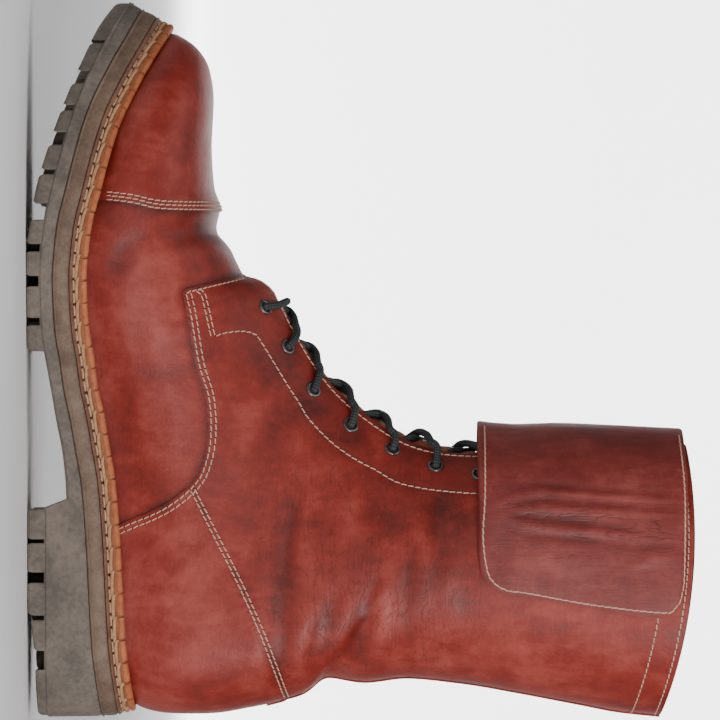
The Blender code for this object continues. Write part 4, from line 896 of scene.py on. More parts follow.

# Painted shade in the folds and along the seams and edges of each piece, painted highlight on the ridges of its folds
vamp_painted_light_tone = painted_light_tone_of(VAMP_FOLD, (CAP_FIELD, 2.2, 0.20), (QUARTER_FIELD, 2.0, 0.22))
vamp = leather_piece("vamp", layer(VAMP_LEVEL, VAMP_FOLD, VAMP_FIELD * 0 + 9, vamp_painted_light_tone), VAMP_FIELD, before_heel & open_front, LEATHER)
cap_painted_light_tone = painted_light_tone_of(CAP_RELIEF, (CAP_FIELD, 0.9, 0.2))
toe_cap = leather_piece("toe_cap_leather", layer(CAP_LEVEL, CAP_RELIEF, CAP_FIELD, cap_painted_light_tone), CAP_FIELD, before_heel, LEATHER)
quarter_painted_light_tone = painted_light_tone_of(QUARTER_RELIEF, (QUARTER_FIELD, 0.9, 0.22), (counter_away, 0.9, 0.18))
quarter_layer = layer(QUARTER_LEVEL, QUARTER_RELIEF, QUARTER_FIELD, quarter_painted_light_tone)
quarters = leather_piece("quarters_and_shaft", quarter_layer, QUARTER_FIELD, open_front, LEATHER)

INNER = OUTER - NORMAL * WALL


def strip_between(name, first, second, finish, bulge=0.0, out=None, closed=False):
    """Narrow band between two lines of points, rounded outwards."""
    count = 5
    lines = []
    for t in np.linspace(0, 1, count):
        line = first * (1 - t) + second * t
        if out is not None:
            line = line + out * bulge * math.sin(math.pi * t)
        lines.append(line)
    verts = np.concatenate(lines)
    n = len(first)
    faces = []
    for r in range(count - 1):
        for i in range(n if closed else n - 1):
            j = (i + 1) % n
            faces.append([r * n + i, r * n + j, (r + 1) * n + j, (r + 1) * n + i])
    return piece(name, verts, faces, finish, 60.0)


HIGH = quarter_layer[:, :, :3]
collar_columns = np.concatenate([np.arange(0, LACING[0] + 1)])
collar_out = np.concatenate([HIGH[-1, LACING[1] : COLS - 1], HIGH[-1, : LACING[0] + 1]])
collar_in = np.concatenate([INNER[-1, LACING[1] : COLS - 1], INNER[-1, : LACING[0] + 1]])
collar_edge = strip_between("collar_edge", collar_out, collar_in, EDGE_LEATHER, 0.0006, np.array([0.0, 0.0, 1.0]))
edge_pieces = [collar_edge]
for name, column, sign in (("lacing_edge_outer", LACING[0], 1), ("lacing_edge_inner", LACING[1], -1)):
    out = OUTER[THROAT:, column] - OUTER[THROAT:, column - 2 * sign]
    out /= np.linalg.norm(out, axis=1)[:, None]
    edge_pieces.append(strip_between(name, HIGH[THROAT:, column], INNER[THROAT:, column], EDGE_LEATHER, 0.0005, out))
out = OUTER[THROAT, LACING[0] : LACING[1] + 1] - OUTER[THROAT - 2, LACING[0] : LACING[1] + 1]
out /= np.linalg.norm(out, axis=1)[:, None]
VAMP_HIGH = OUTER + NORMAL * VAMP_LEVEL
edge_pieces.append(strip_between("throat_edge", HIGH[THROAT, LACING[0] : LACING[1] + 1], INNER[THROAT, LACING[0] : LACING[1] + 1], EDGE_LEATHER, 0.0004, out))

lining_points, lining_faces, _ = trimmed(INNER, np.ones(ROWS.shape + (COLS,)), open_front)
lining_points, lining_faces = compact(lining_points, [face[::-1] for face in lining_faces])
lining = piece("lining", lining_points, lining_faces, LINING, 60.0)

# Back seam, a folded strip up the heel
back = HIGH[:, 0][ROWS >= HEEL_ROW]
back_x = back[:, 2] * 1000
strip_rows = back[(back_x > 104)]
seam_lines = []
for y, lift in ((-0.0026, -0.0006), (-0.0023, 0.0003), (-0.0008, 0.0008), (0.0, 0.0009), (0.0008, 0.0008), (0.0023, 0.0003), (0.0026, -0.0006)):
    line = strip_rows.copy()
    line[:, 1] += y
    line[:, 0] -= lift
    seam_lines.append(line)
verts = np.concatenate(seam_lines)
n = len(strip_rows)
faces = [[r * n + i, (r + 1) * n + i, (r + 1) * n + i + 1, r * n + i + 1] for r in range(6) for i in range(n - 1)]
back_seam = piece("back_seam_strip", verts, faces, LEATHER, 60.0, np.full(len(verts), 0.40))

# Tongue under the lacing

FINE_ROWS = list(np.linspace(0, LAST_ROW, 5 * LAST_ROW + 1))
FINE = surface(FINE_ROWS, (16, 24, 8))
FINE_NORMAL = normals_of(FINE, FINE_ROWS)
FINE_MIDDLE = FINE.shape[1] // 2


def from_ridge(i, distance):
    """Point and normal on a fine row, whole or between, at a distance from the ridge."""
    low = int(math.floor(i))
    high = min(low + 1, len(FINE_ROWS) - 1)
    share = i - low
    grid = FINE[low] * (1 - share) + FINE[high] * share
    facing = FINE_NORMAL[low] * (1 - share) + FINE_NORMAL[high] * share
    step = 1 if distance < 0 else -1
    line, normal = grid[FINE_MIDDLE::step], facing[FINE_MIDDLE::step]
    length = np.concatenate([[0], np.cumsum(np.linalg.norm(np.diff(line, axis=0), axis=1))])
    at = abs(distance)
    point = np.array([np.interp(at, length, line[:, c]) for c in range(3)])
    facing = np.array([np.interp(at, length, normal[:, c]) for c in range(3)])
    return point, facing / np.linalg.norm(facing)


def gap_at(i):
    return float(smooth(SECTION_PLACES, SECTION_DATA[:, 11], i / 5))


tongue_rows = np.linspace(5 * (THROAT_ROW - 1), 5 * LAST_ROW - 3, 90)
tongue_shares = np.linspace(-1, 1, 41)
tongue_out, tongue_in = [], []
for i in tongue_rows:
    gap = gap_at(i)
    for share in tongue_shares:
        point, normal = from_ridge(i, TONGUE_REACH * share)
        swell = TONGUE_SWELL * max(0.0, 1 - (TONGUE_REACH * share / gap) ** 2)
        swell *= min(1.0, max(0.0, (i - 5 * THROAT_ROW) / 4))
        wave = 0.0004 * math.sin(i * 0.9 + 3 * share) * max(0.0, 1 - (share * 2.2) ** 2)
        swell *= 1 + 1.5 * math.exp(-(((point[2] * 1000 - 184) / 15) ** 2))
        tongue_out.append(point - normal * (WALL + TONGUE_GAP - swell - wave))
        tongue_in.append(point - normal * (WALL + TONGUE_GAP - swell - wave + TONGUE_THICKNESS))
n = len(tongue_shares)
total = len(tongue_out)
faces = []
for r in range(len(tongue_rows) - 1):
    for k in range(n - 1):
        a = r * n + k
        faces.append([a, a + n, a + n + 1, a + 1])
        faces.append([a + total, a + 1 + total, a + n + 1 + total, a + n + total])
rim = [k for k in range(n)] + [r * n + n - 1 for r in range(1, len(tongue_rows))]
rim += [total - 1 - k for k in range(1, n)] + [r * n for r in range(len(tongue_rows) - 2, 0, -1)]
for a, b in zip(rim, rim[1:] + rim[:1]):
    faces.append([a, b, b + total, a + total])
tongue = piece("tongue_leather_piece", np.array(tongue_out + tongue_in), faces, TONGUE_LEATHER, 50.0)

# Cuff flap around the front of the shaft
FLAP_FOLDS = [
    ([(92, 203), (98, 222), (97, 248), (95.5, 286)], 1.5, -0.55),
    ([(90.5, 203), (95, 222), (94.5, 248), (93, 284)], 1.4, 0.50),
    ([(88.7, 203), (93, 226), (92, 256), (91, 287)], 1.4, -0.60),
    ([(88, 204), (90, 224), (88.6, 250), (87, 286)], 1.4, 0.50),
    ([(88, 204), (86.5, 226), (84.6, 246), (80.0, 274)], 1.5, -0.62),
    ([(87, 205), (83, 222), (81.2, 240), (78.5, 280)], 1.5, 0.50),
    ([(87, 205), (80.5, 218), (78.6, 240), (75.5, 268)], 1.5, -0.45),
    ([(103, 210), (106, 236), (104, 262)], 3.0, 0.30),
    ([(66, 262), (70, 276), (70, 286)], 2.4, 0.45),
    ([(74, 264), (75.5, 276), (75, 286)], 1.4, -0.40),
    ([(60, 210), (70, 222), (66, 250)], 7.0, 0.50),
    ([(118, 206), (120, 240), (117, 280)], 4.0, -0.25),
]
FLAP_LIFT = [(45, -1.0), (60, -0.8), (75, 0.5), (90, 1.4), (106, 1.0), (126, -0.8), (140, -0.8)]


def flap_line(z):
    points = []
    for j in range(FINE.shape[1]):
        column, facing = FINE[5 * HEEL_ROW :, j], FINE_NORMAL[5 * HEEL_ROW :, j]
        z_here = np.maximum.accumulate(column[:, 2])
        points.append([np.interp(z, z_here, column[:, c]) for c in range(2)] + [z]
                      + [np.interp(z, z_here, facing[:, c]) for c in range(3)])
    return np.array(points)


FLAP_COLUMNS = 150
flap_ups = np.concatenate([
    np.linspace(0.677, 0.692, 9), np.linspace(0.696, 0.966, 54), np.linspace(0.969, 0.988, 9),
])
flap_rows = []
for up in flap_ups:
    line = flap_line(HEIGHT * up)
    rear = LENGTH * float(table(FLAP_EDGE, 1, up))
    left, right = line[: FINE_MIDDLE + 1], line[FINE_MIDDLE:]
    start = np.interp(rear, left[:, 0], np.arange(len(left)))
    end = FINE_MIDDLE + np.interp(-rear, -right[:, 0], np.arange(len(right)))
    front_stand = float(table(FLAP_STAND, 1, up))
    shares = np.linspace(0, 1, FLAP_COLUMNS + 1)
    ks = start + (end - start) * shares
    spot = np.stack([np.interp(ks, np.arange(len(line)), line[:, c]) for c in range(6)], axis=1)
    facing = spot[:, 3:] * (1, 1, 0)
    facing /= np.linalg.norm(facing, axis=1)[:, None]
    rise = 0.5 - 0.5 * np.cos(np.pi * np.minimum(1.0, np.minimum(shares, 1 - shares) / FLAP_SPREAD * 2))
    end_stand = np.where(shares < 0.5, FLAP_FREE_STAND, FLAP_SEWN_STAND)
    stand = end_stand + (front_stand - end_stand) * rise
    x_mm, z_mm = spot[:, 0] * 1000, np.full(len(spot), up * HEIGHT * 1000)
    fold = fold_height(x_mm, z_mm, FLAP_FOLDS) * np.where(spot[:, 1] > 0, 1.0, 0.5)
    lift = np.interp(x_mm, [p[0] for p in FLAP_LIFT], [p[1] for p in FLAP_LIFT]) * 0.001
    lift *= np.clip((up - 0.90) / 0.088, 0, 1) ** 2
    base = spot[:, :3] + np.stack([lift * 0, lift * 0, lift], axis=1)
    inner = base + facing * stand[:, None]
    outer = base + facing * (stand + FLAP_THICKNESS + fold * 0.001)[:, None]
    flap_rows.append((inner, outer, fold))
flap_inner = np.array([r[0] for r in flap_rows])
flap_outer = np.array([r[1] for r in flap_rows])
flap_fold = np.array([r[2] for r in flap_rows])
rows, cols = flap_outer.shape[:2]
edge_row = np.minimum(np.arange(rows), rows - 1 - np.arange(rows))
edge_mm = np.minimum(
    np.minimum((flap_outer[:, :, 2] - flap_outer[:1, :, 2]), (flap_outer[-1:, :, 2] - flap_outer[:, :, 2])) * 1000,
    np.minimum(np.linalg.norm(flap_outer - flap_outer[:, :1], axis=2), np.linalg.norm(flap_outer - flap_outer[:, -1:], axis=2)) * 1000,
)
round_off = (np.clip(1 - edge_mm / 1.4, 0, 1) ** 2 * 0.0006)[:, :, None]
toward = flap_inner - flap_outer
toward /= np.linalg.norm(toward, axis=2)[:, :, None]
flap_outer = flap_outer + toward * round_off
number = np.arange(rows * cols).reshape(rows, cols)
total = rows * cols
faces = []
for r in range(rows - 1):
    for k in range(cols - 1):
        a, b, c, d = number[r, k], number[r, k + 1], number[r + 1, k + 1], number[r + 1, k]
        faces.append([int(d), int(c), int(b), int(a)])
# Painted shade in the troughs of the flap's folds, painted highlight on their ridges
flap_painted_fold_light = (0.5 + np.clip(flap_fold * 0.26, -0.25, 0.2)).reshape(-1)
flap = piece("cuff_flap_leather", flap_outer.reshape(-1, 3), faces, FLAP_LEATHER, 0, flap_painted_fold_light)
back_faces = [f[::-1] for f in faces]
flap_back = piece("cuff_flap_backing", flap_inner.reshape(-1, 3), back_faces, LINING, 0)
rim = list(number[0]) + list(number[1:, -1]) + list(number[-1, :-1][::-1]) + list(number[1:-1, 0][::-1])
rim_out, rim_in = flap_outer.reshape(-1, 3)[rim], flap_inner.reshape(-1, 3)[rim]
flap_middle = flap_outer.reshape(-1, 3).mean(axis=0)
rim_lines = []
for t, puff in ((0.0, 0.0), (0.18, 0.35), (0.44, 0.30), (0.50, 0.05), (0.56, 0.30), (0.82, 0.35), (1.0, 0.0)):
    rim_lines.append(rim_out * (1 - t) + rim_in * t)
n = len(rim)
faces = [[r * n + i, (r + 1) * n + i, (r + 1) * n + (i + 1) % n, r * n + (i + 1) % n] for r in range(6) for i in range(n)]
flap_edge = piece("cuff_flap_edge", np.concatenate(rim_lines), faces, EDGE_LEATHER, 60.0)
FLAP_TREE = BVHTree.FromPolygons([tuple(v) for v in flap_outer.reshape(-1, 3)],
                                 [[int(i) for i in (number[r, k], number[r, k + 1], number[r + 1, k + 1], number[r + 1, k])]
                                  for r in range(rows - 1) for k in range(cols - 1)])

# Layers of the sole

def band(name, profile, finish, close=False, ring=RING, sharp=50.0):
    """Rings of the sole from a profile of inset and rise."""
    rings = [stack(ring, inset, rise) for inset, rise in profile]
    n = len(ring)
    last = len(rings) if close else len(rings) - 1
    faces = []
    for r in range(last):
        s = (r + 1) % len(rings)
        faces += [[r * n + i, r * n + (i + 1) % n, s * n + (i + 1) % n, s * n + i] for i in range(n)]
    return rings, faces


wall_inset = table(FEATHER, 1, RING[:, 0] / LENGTH) + WALL + 0.0014
SOLE_RING = RING


def sole_piece(name, profile, finish, close=True, sharp=40.0):
    rings, faces = band(name, profile, finish, close)
    return piece(name, np.concatenate(rings), [f[::-1] for f in faces], finish, sharp)


midsole_profile = [
    (0.0120, 0.0002), (0.0006, 0.0002), (0.0000, 0.0004), (-0.0003, 0.0008), (0.0000, 0.0013),
    (0.0004, 0.0016), (0.0002, 0.0022), (0.0001, 0.0040), (0.0002, 0.0058), (0.0004, 0.0068),
    (0.0009, 0.0073), (0.0120, 0.0074),
]
midsole = sole_piece("midsole_layers", midsole_profile, MIDSOLE)
welt_profile = [
    (0.0120, 0.0075), (0.0008, 0.0075), (0.0004, 0.0077), (0.0003, 0.0081), (0.0006, 0.0085),
    (0.0012, 0.0090), (0.0022, 0.0096), (0.0034, 0.0101), (0.0060, 0.0103), (0.0120, 0.0102),
]
welt = sole_piece("welt_layer", welt_profile, WELT_LEATHER)
BRAID_MIDDLE = table(FEATHER, 2, RING[:, 0] / LENGTH)
BRAID_MIDDLE = BRAID_MIDDLE + 0.0014 * np.clip(abs(RING[:, 0] / LENGTH - 0.49) / 0.03 - 15.6, 0, 1)
core_profile = []
for k in range(12):
    a = math.radians(30 * k - 90)
    core_profile.append((BRAID_MIDDLE + 0.0003 - BRAID_WIDTH * 0.44 * math.cos(a), WELT_TOP + BRAID_HEIGHT * 0.47 * (1 + math.sin(a))))
braid_core = sole_piece("braid_core_cord", core_profile, BRAID_CORE, True, 0)
insole_inset = wall_inset
insole_top = stack(RING, insole_inset, INSOLE_TOP)
insole_profile = [(insole_inset, WELT_TOP), (insole_inset, INSOLE_TOP - 0.0006), (insole_inset + 0.0006, INSOLE_TOP), (insole_inset + 0.004, INSOLE_TOP + 0.0001)]
rings, faces = band("insole", insole_profile, None)
n = len(RING)
last = (len(rings) - 1) * n
half = n // 2
cap = []
for i in range(half):
    a, b, c, d = last + i, last + i + 1, last + (n - i - 1) % n, last + (n - i) % n
    cap.append([v for k, v in enumerate([a, b, c, d]) if v not in [a, b, c, d][:k]])
insole = piece("insole_top", np.concatenate(rings), [f[::-1] for f in faces] + cap, INSOLE_LEATHER, 40.0)

# Rubber sole with rounded lugs

def edge_point(x, side, inset):
    fine = inward(RING, np.full(len(RING), inset))
    half = len(fine) // 2
    part = fine[: half + 1] if side > 0 else np.roll(fine, -half, axis=0)[: half + 1][::-1]
    return (x, float(np.interp(x, part[:, 0], part[:, 1])))


def shrink(outline, distance):
    """Outline pulled towards its middle by about a distance."""
    p = np.array(outline, float)
    ahead, behind = np.roll(p, -1, axis=0) - p, p - np.roll(p, 1, axis=0)
    ahead /= np.maximum(np.linalg.norm(ahead, axis=1), 1e-9)[:, None]
    behind /= np.maximum(np.linalg.norm(behind, axis=1), 1e-9)[:, None]
    normal = np.stack([-(ahead + behind)[:, 1], (ahead + behind)[:, 0]], axis=1)
    normal /= np.maximum(np.linalg.norm(normal, axis=1), 1e-9)[:, None]
    area = 0.5 * np.sum(p[:, 0] * np.roll(p[:, 1], -1) - np.roll(p[:, 0], -1) * p[:, 1])
    return p + normal * distance * np.sign(area)


def lug(outline, high, low=tread_z):
    """Block of rubber with rounded lower edges."""
    outline = np.array(outline, float)
    area = 0.5 * np.sum(outline[:, 0] * np.roll(outline[:, 1], -1) - np.roll(outline[:, 0], -1) * outline[:, 1])
    if area < 0:
        outline = outline[::-1]
    rings = []
    for inset, lift in ((0.0, None), (0.0, 0.0022), (0.0002, 0.0012), (0.0006, 0.0005), (0.0013, 0.0001), (0.0022, 0.0)):
        p = shrink(outline, inset) if inset else outline
        z = np.full(len(p), high) if lift is None and not callable(high) else (high(p[:, 0]) if lift is None else low(p[:, 0]) + lift)
        rings.append(np.stack([p[:, 0], p[:, 1], z], axis=1))
    n = len(outline)
    faces = []
    for r in range(len(rings) - 1):
        faces += [[r * n + i, (r + 1) * n + i, (r + 1) * n + (i + 1) % n, r * n + (i + 1) % n] for i in range(n)]
    faces.append(list(range(n)))
    faces.append([(len(rings) - 1) * n + i for i in range(n)][::-1])
    return np.concatenate(rings), faces


def rounded(outline, radius, steps=4):
    """Outline with its corners rounded."""
    p = np.array(outline, float)
    out = []
    for i in range(len(p)):
        a, b, c = p[i - 1], p[i], p[(i + 1) % len(p)]
        ra = min(radius, 0.45 * np.linalg.norm(a - b))
        rc = min(radius, 0.45 * np.linalg.norm(c - b))
        start = b + (a - b) / np.linalg.norm(a - b) * ra
        end = b + (c - b) / np.linalg.norm(c - b) * rc
        for t in np.linspace(0, 1, steps):
            out.append((1 - t) ** 2 * start + 2 * t * (1 - t) * b + t * t * end)
    return np.array(out)


def wall_of(x, side):
    """Side of the sole wall, where the lug stands, at a length."""
    return edge_point(x, side, 0.0005)


sole_verts, sole_faces = [], []


def add_rubber(verts, faces):
    base = sum(len(v) for v in sole_verts)
    sole_verts.append(np.asarray(verts, float))
    sole_faces.extend([[base + int(i) for i in f] for f in faces])


def wall_foot(x):
    """Height of the foot of the rubber wall, with the heel in one with the sole."""
    share = np.clip((x - 0.0930) / 0.0035, 0, 1)
    return HEEL_GROOVE_FLOOR * (1 - share) + core_z(x) * share


low_ring = np.stack([RING[:, 0], RING[:, 1], wall_foot(RING[:, 0])], axis=1)
top_ring = stack(RING, 0.0, 0.0)
wall_rings = []
shrunk = inward(RING, np.full(len(RING), 0.0012))
wall_rings.append(np.stack([shrunk[:, 0], shrunk[:, 1], wall_foot(RING[:, 0]) - 0.0001], axis=1))
wall_rings.append(low_ring + (0, 0, 0.0010))
for t in (0.25, 0.5, 0.75):
    wall_rings.append(low_ring * (1 - t) + top_ring * t)
wall_rings.append(low_ring * 0.08 + top_ring * 0.92)
wall_rings.append(stack(RING, 0.0004, 0.0))
n = len(RING)
faces = []
for r in range(len(wall_rings) - 1):
    faces += [[r * n + i, r * n + (i + 1) % n, (r + 1) * n + (i + 1) % n, (r + 1) * n + i][::-1] for i in range(n)]
for base, flip in ((0, False), ((len(wall_rings) - 1) * n, True)):
    for i in range(n // 2):
        quad = [base + i, base + i + 1, base + (n - i - 1) % n, base + (n - i) % n]
        quad = [v for k, v in enumerate(quad) if v not in quad[:k]]
        faces.append(quad[::-1] if not flip else quad)
add_rubber(np.concatenate(wall_rings), faces)
edge_ring = inward(RING, np.full(len(RING), 0.0004))
order = np.roll(np.arange(len(edge_ring)), len(edge_ring) // 2)


def side_lug(rear, front, side, high):
    r, f = rear * LENGTH, front * LENGTH
    out, inn = edge_point((r + f) / 2, 1, 0.0)[1], edge_point((r + f) / 2, -1, 0.0)[1]
    depth = min(LUG_DEPTH, LUG_SHARE * (out - inn))
    wall = [edge_point(x, side, 0.0007) for x in np.linspace(r, f, 7)]
    inside = [(f - 0.0015, (out if side > 0 else inn) - side * depth), (r + 0.0015, (out if side > 0 else inn) - side * depth)]
    return lug(rounded(wall + inside, 0.0016, 3), high)


for rear, front in EDGE_LUGS + HEEL_LUGS:
    for side in (1, -1):
        high = HEEL_GROOVE_FLOOR + 0.001 if front < 0.4 else (lambda x: core_z(x) + 0.003)
        add_rubber(*side_lug(rear, front, side, high))
tip = inward(RING, np.full(len(RING), 0.0007))
start = TOE_LUG_START * LENGTH
toe_outline = [tuple(p) for p in tip if p[0] > start + 0.001]
toe_outline = [edge_point(start, 1, 0.0007)] + toe_outline + [edge_point(start, -1, 0.0007)]
add_rubber(*lug(toe_outline, lambda x: core_z(x) + 0.003))
end = HEEL_LUG_END * LENGTH
rear_outline = [tuple(tip[i]) for i in order if tip[i][0] < end - 0.001]
rear_outline += [edge_point(end, 1, 0.0007), edge_point(end, -1, 0.0007)]
add_rubber(*lug(rear_outline, HEEL_GROOVE_FLOOR + 0.001))
for share in CENTRE_STUDS:
    x = share * LENGTH
    middle = (edge_point(x, 1, 0.0)[1] + edge_point(x, -1, 0.0)[1]) / 2
    shape = [(-0.0045, -0.0070), (-0.0045, 0.0070), (0.0, 0.011), (0.0045, 0.0070), (0.0045, -0.0070), (0.0, -0.011)]
    outline = rounded([(x + a, middle + b) for a, b in shape], 0.0015, 3)
    high = HEEL_GROOVE_FLOOR + 0.001 if share < 0.4 else (lambda x: core_z(x) + 0.003)
    add_rubber(*lug(outline, high))
outsole = piece("rubber_outsole", np.concatenate(sole_verts), sole_faces, RUBBER, 38.0)

# Rows of stitches and other repeated shapes

def axes_tree(name, sizes, shape_of, finish):
    """Tree that sets a shape at every point, turned to its own directions."""
    tree = bpy.data.node_groups.new(name, "GeometryNodeTree")
    tree.interface.new_socket("Geometry", in_out="INPUT", socket_type="NodeSocketGeometry")
    for key in sizes:
        tree.interface.new_socket(key, in_out="INPUT", socket_type="NodeSocketFloat")
    tree.interface.new_socket("Geometry", in_out="OUTPUT", socket_type="NodeSocketGeometry")
    nodes, links = tree.nodes, tree.links
    source, result = nodes.new("NodeGroupInput"), nodes.new("NodeGroupOutput")

    def add(kind, settings=None, inputs=None):
        node = nodes.new(kind)
        for key, value in (settings or {}).items():
            setattr(node, key, value)
        for key, value in (inputs or {}).items():
            if isinstance(value, bpy.types.NodeSocket):
                links.new(value, node.inputs[key])
            else:
                node.inputs[key].default_value = value
        return node

    def maths(operation, a, b=0.0):
        return add("ShaderNodeMath", {"operation": operation}, {0: a, 1: b}).outputs[0]

    shape = shape_of(add, maths, source.outputs)
    named = {}
    for key in ("along", "facing"):
        named[key] = add("GeometryNodeInputNamedAttribute", {"data_type": "FLOAT_VECTOR"}, {"Name": key}).outputs[0]
    turned = add("FunctionNodeAxesToRotation", {"primary_axis": "X", "secondary_axis": "Z"}, {0: named["along"], 1: named["facing"]})
    spread = add("GeometryNodeInstanceOnPoints", {}, {"Points": source.outputs[0], "Instance": shape, "Rotation": turned.outputs[0]})
    real = add("GeometryNodeRealizeInstances", {}, {0: spread.outputs[0]})
    soft = add("GeometryNodeSetShadeSmooth", {}, {0: real.outputs[0]})
    skin = add("GeometryNodeSetMaterial", {}, {0: soft.outputs[0], "Material": finish})
    links.new(skin.outputs[0], result.inputs[0])
    return tree


def repeated(name, places, tree, sizes, finish):
    """Plain mesh of a tree's shape repeated at places of point, direction and normal."""
    mesh = bpy.data.meshes.new(name)
    mesh.from_pydata(place([p[0] for p in places]).tolist(), [], [])
    for key, column in (("along", 1), ("facing", 2)):
        values = np.array([p[column] for p in places], np.float32).reshape(-1)
        mesh.attributes.new(key, "FLOAT_VECTOR", "POINT").data.foreach_set("vector", values)
    obj = bpy.data.objects.new(name + "_points", mesh)
    bpy.context.scene.collection.objects.link(obj)
    modifier = obj.modifiers.new("repeat", "NODES")
    modifier.node_group = tree
    for item in tree.interface.items_tree:
        if item.item_type == "SOCKET" and item.in_out == "INPUT" and item.name in sizes:
            modifier[item.identifier] = float(sizes[item.name])
    graph = bpy.context.evaluated_depsgraph_get()
    graph.update()
    made = bpy.data.meshes.new_from_object(obj.evaluated_get(graph))
    bpy.data.objects.remove(obj, do_unlink=True)
    made.name = name
    result = bpy.data.objects.new(name, made)
    bpy.context.scene.collection.objects.link(result)
    if not made.materials:
        made.materials.append(finish)
    return result


def stitch_shape(add, maths, size):
    """Short thread with its ends drawn down into the leather."""
    half = maths("MULTIPLY", size["Length"], 0.5)
    start = add("ShaderNodeCombineXYZ", {}, {0: maths("MULTIPLY", half, -1.0)}).outputs[0]
    end = add("ShaderNodeCombineXYZ", {}, {0: half}).outputs[0]
    line = add("GeometryNodeCurvePrimitiveLine", {}, {"Start": start, "End": end}).outputs[0]
    line = add("GeometryNodeResampleCurve", {}, {"Curve": line, "Count": 7}).outputs[0]
    factor = add("GeometryNodeSplineParameter").outputs[0]
    centred = maths("SUBTRACT", maths("MULTIPLY", factor, 2.0), 1.0)
    fourth = maths("POWER", maths("ABSOLUTE", centred), 4.0)
    full = maths("SQRT", maths("SUBTRACT", 1.02, fourth))
    line = add("GeometryNodeSetCurveRadius", {}, {"Curve": line, "Radius": full}).outputs[0]
    sink = maths("MULTIPLY", maths("MULTIPLY", fourth, size["Sink"]), -1.0)
    line = add("GeometryNodeSetPosition", {}, {0: line, "Offset": add("ShaderNodeCombineXYZ", {}, {2: sink}).outputs[0]}).outputs[0]
    ring = add("GeometryNodeCurvePrimitiveCircle", {"mode": "RADIUS"}, {"Resolution": 6, "Radius": size["Radius"]}).outputs[0]
    return add("GeometryNodeCurveToMesh", {}, {"Curve": line, "Profile Curve": ring, "Fill Caps": True}).outputs[0]


def pad_shape(add, maths, size):
    """Long rounded pad."""
    start = add("ShaderNodeCombineXYZ", {}, {0: maths("MULTIPLY", size["Length"], -0.5)}).outputs[0]
    end = add("ShaderNodeCombineXYZ", {}, {0: maths("MULTIPLY", size["Length"], 0.5)}).outputs[0]
    line = add("GeometryNodeCurvePrimitiveLine", {}, {"Start": start, "End": end}).outputs[0]
    line = add("GeometryNodeResampleCurve", {}, {"Curve": line, "Count": 9}).outputs[0]
    centred = maths("SUBTRACT", maths("MULTIPLY", add("GeometryNodeSplineParameter").outputs[0], 2.0), 1.0)
    blunt = maths("POWER", maths("ABSOLUTE", centred), 6.0)
    line = add("GeometryNodeSetCurveRadius", {}, {"Curve": line, "Radius": maths("SQRT", maths("SUBTRACT", 1.03, blunt))}).outputs[0]
    ring = add("GeometryNodeCurvePrimitiveCircle", {"mode": "RADIUS"}, {"Resolution": 10, "Radius": size["Width"]}).outputs[0]
    pad = add("GeometryNodeCurveToMesh", {}, {"Curve": line, "Profile Curve": ring, "Fill Caps": True}).outputs[0]
    scale = add("ShaderNodeCombineXYZ", {}, {0: 1.0, 1: 1.0, 2: maths("DIVIDE", size["Height"], size["Width"])}).outputs[0]
    return add("GeometryNodeTransform", {}, {"Geometry": pad, "Scale": scale}).outputs[0]


def strand_shape(add, maths, size):
    """Cord that leaves between two pads, turns round the end of one and runs along it."""
    def spot(x, y, z):
        return add("ShaderNodeCombineXYZ", {}, {
            0: maths("MULTIPLY", size["Pitch"], x), 1: maths("MULTIPLY", size["Width"], y),
            2: maths("MULTIPLY", size["Height"], z)}).outputs[0]
    bend = add("GeometryNodeCurvePrimitiveBezierSegment", {}, {
        "Resolution": 12, "Start": spot(0.52, 0.10, 0.20), "Start Handle": spot(0.62, 0.62, 0.35),
        "End Handle": spot(0.10, 0.78, -0.10), "End": spot(-0.56, 0.60, -0.35)}).outputs[0]
    ring = add("GeometryNodeCurvePrimitiveCircle", {"mode": "RADIUS"}, {"Resolution": 6, "Radius": size["Radius"]}).outputs[0]
    return add("GeometryNodeCurveToMesh", {}, {"Curve": bend, "Profile Curve": ring, "Fill Caps": True}).outputs[0]


# Flat dark disc: painted shadow of a needle hole
def hole_shape(add, maths, size):
    disc = add("GeometryNodeMeshUVSphere", {}, {"Segments": 8, "Rings": 4, "Radius": size["Radius"]}).outputs[0]
    return add("GeometryNodeTransform", {}, {"Geometry": disc, "Scale": (1.0, 1.0, 0.22)}).outputs[0]


STITCH_TREE = axes_tree("thread_stitches", ("Length", "Radius", "Sink"), stitch_shape, THREAD)
WELT_STITCH_TREE = axes_tree("welt_thread_stitches", ("Length", "Radius", "Sink"), stitch_shape, WELT_THREAD)
HOLE_TREE = axes_tree("needle_holes", ("Radius",), hole_shape, HOLE)
PAD_TREE = axes_tree("braid_pads", ("Length", "Width", "Height"), pad_shape, BRAID_LUMPS)
STRAND_TREE = axes_tree("braid_strands", ("Pitch", "Width", "Height", "Radius"), strand_shape, BRAID_STRANDS)


def evenly(points, normals, pitch, start=0.5, slant=0.0):
    """Places at even distances along a line of points, with directions and normals."""
    points, normals = np.asarray(points, float), np.asarray(normals, float)
    length = np.concatenate([[0], np.cumsum(np.linalg.norm(np.diff(points, axis=0), axis=1))])
    count = max(1, int(round(length[-1] / pitch)))
    out = []
    for k in range(count):
        at = length[-1] * (k + start) / count
        p = np.array([np.interp(at, length, points[:, c]) for c in range(3)])
        a = np.array([np.interp(at - 0.0008, length, points[:, c]) for c in range(3)])
        b = np.array([np.interp(at + 0.0008, length, points[:, c]) for c in range(3)])
        n = np.array([np.interp(at, length, normals[:, c]) for c in range(3)])
        n /= np.linalg.norm(n)
        d = (b - a) / max(np.linalg.norm(b - a), 1e-9)
        d = d * math.cos(slant) + np.cross(n, d) * math.sin(slant)
        out.append((p, d, n))
    return out


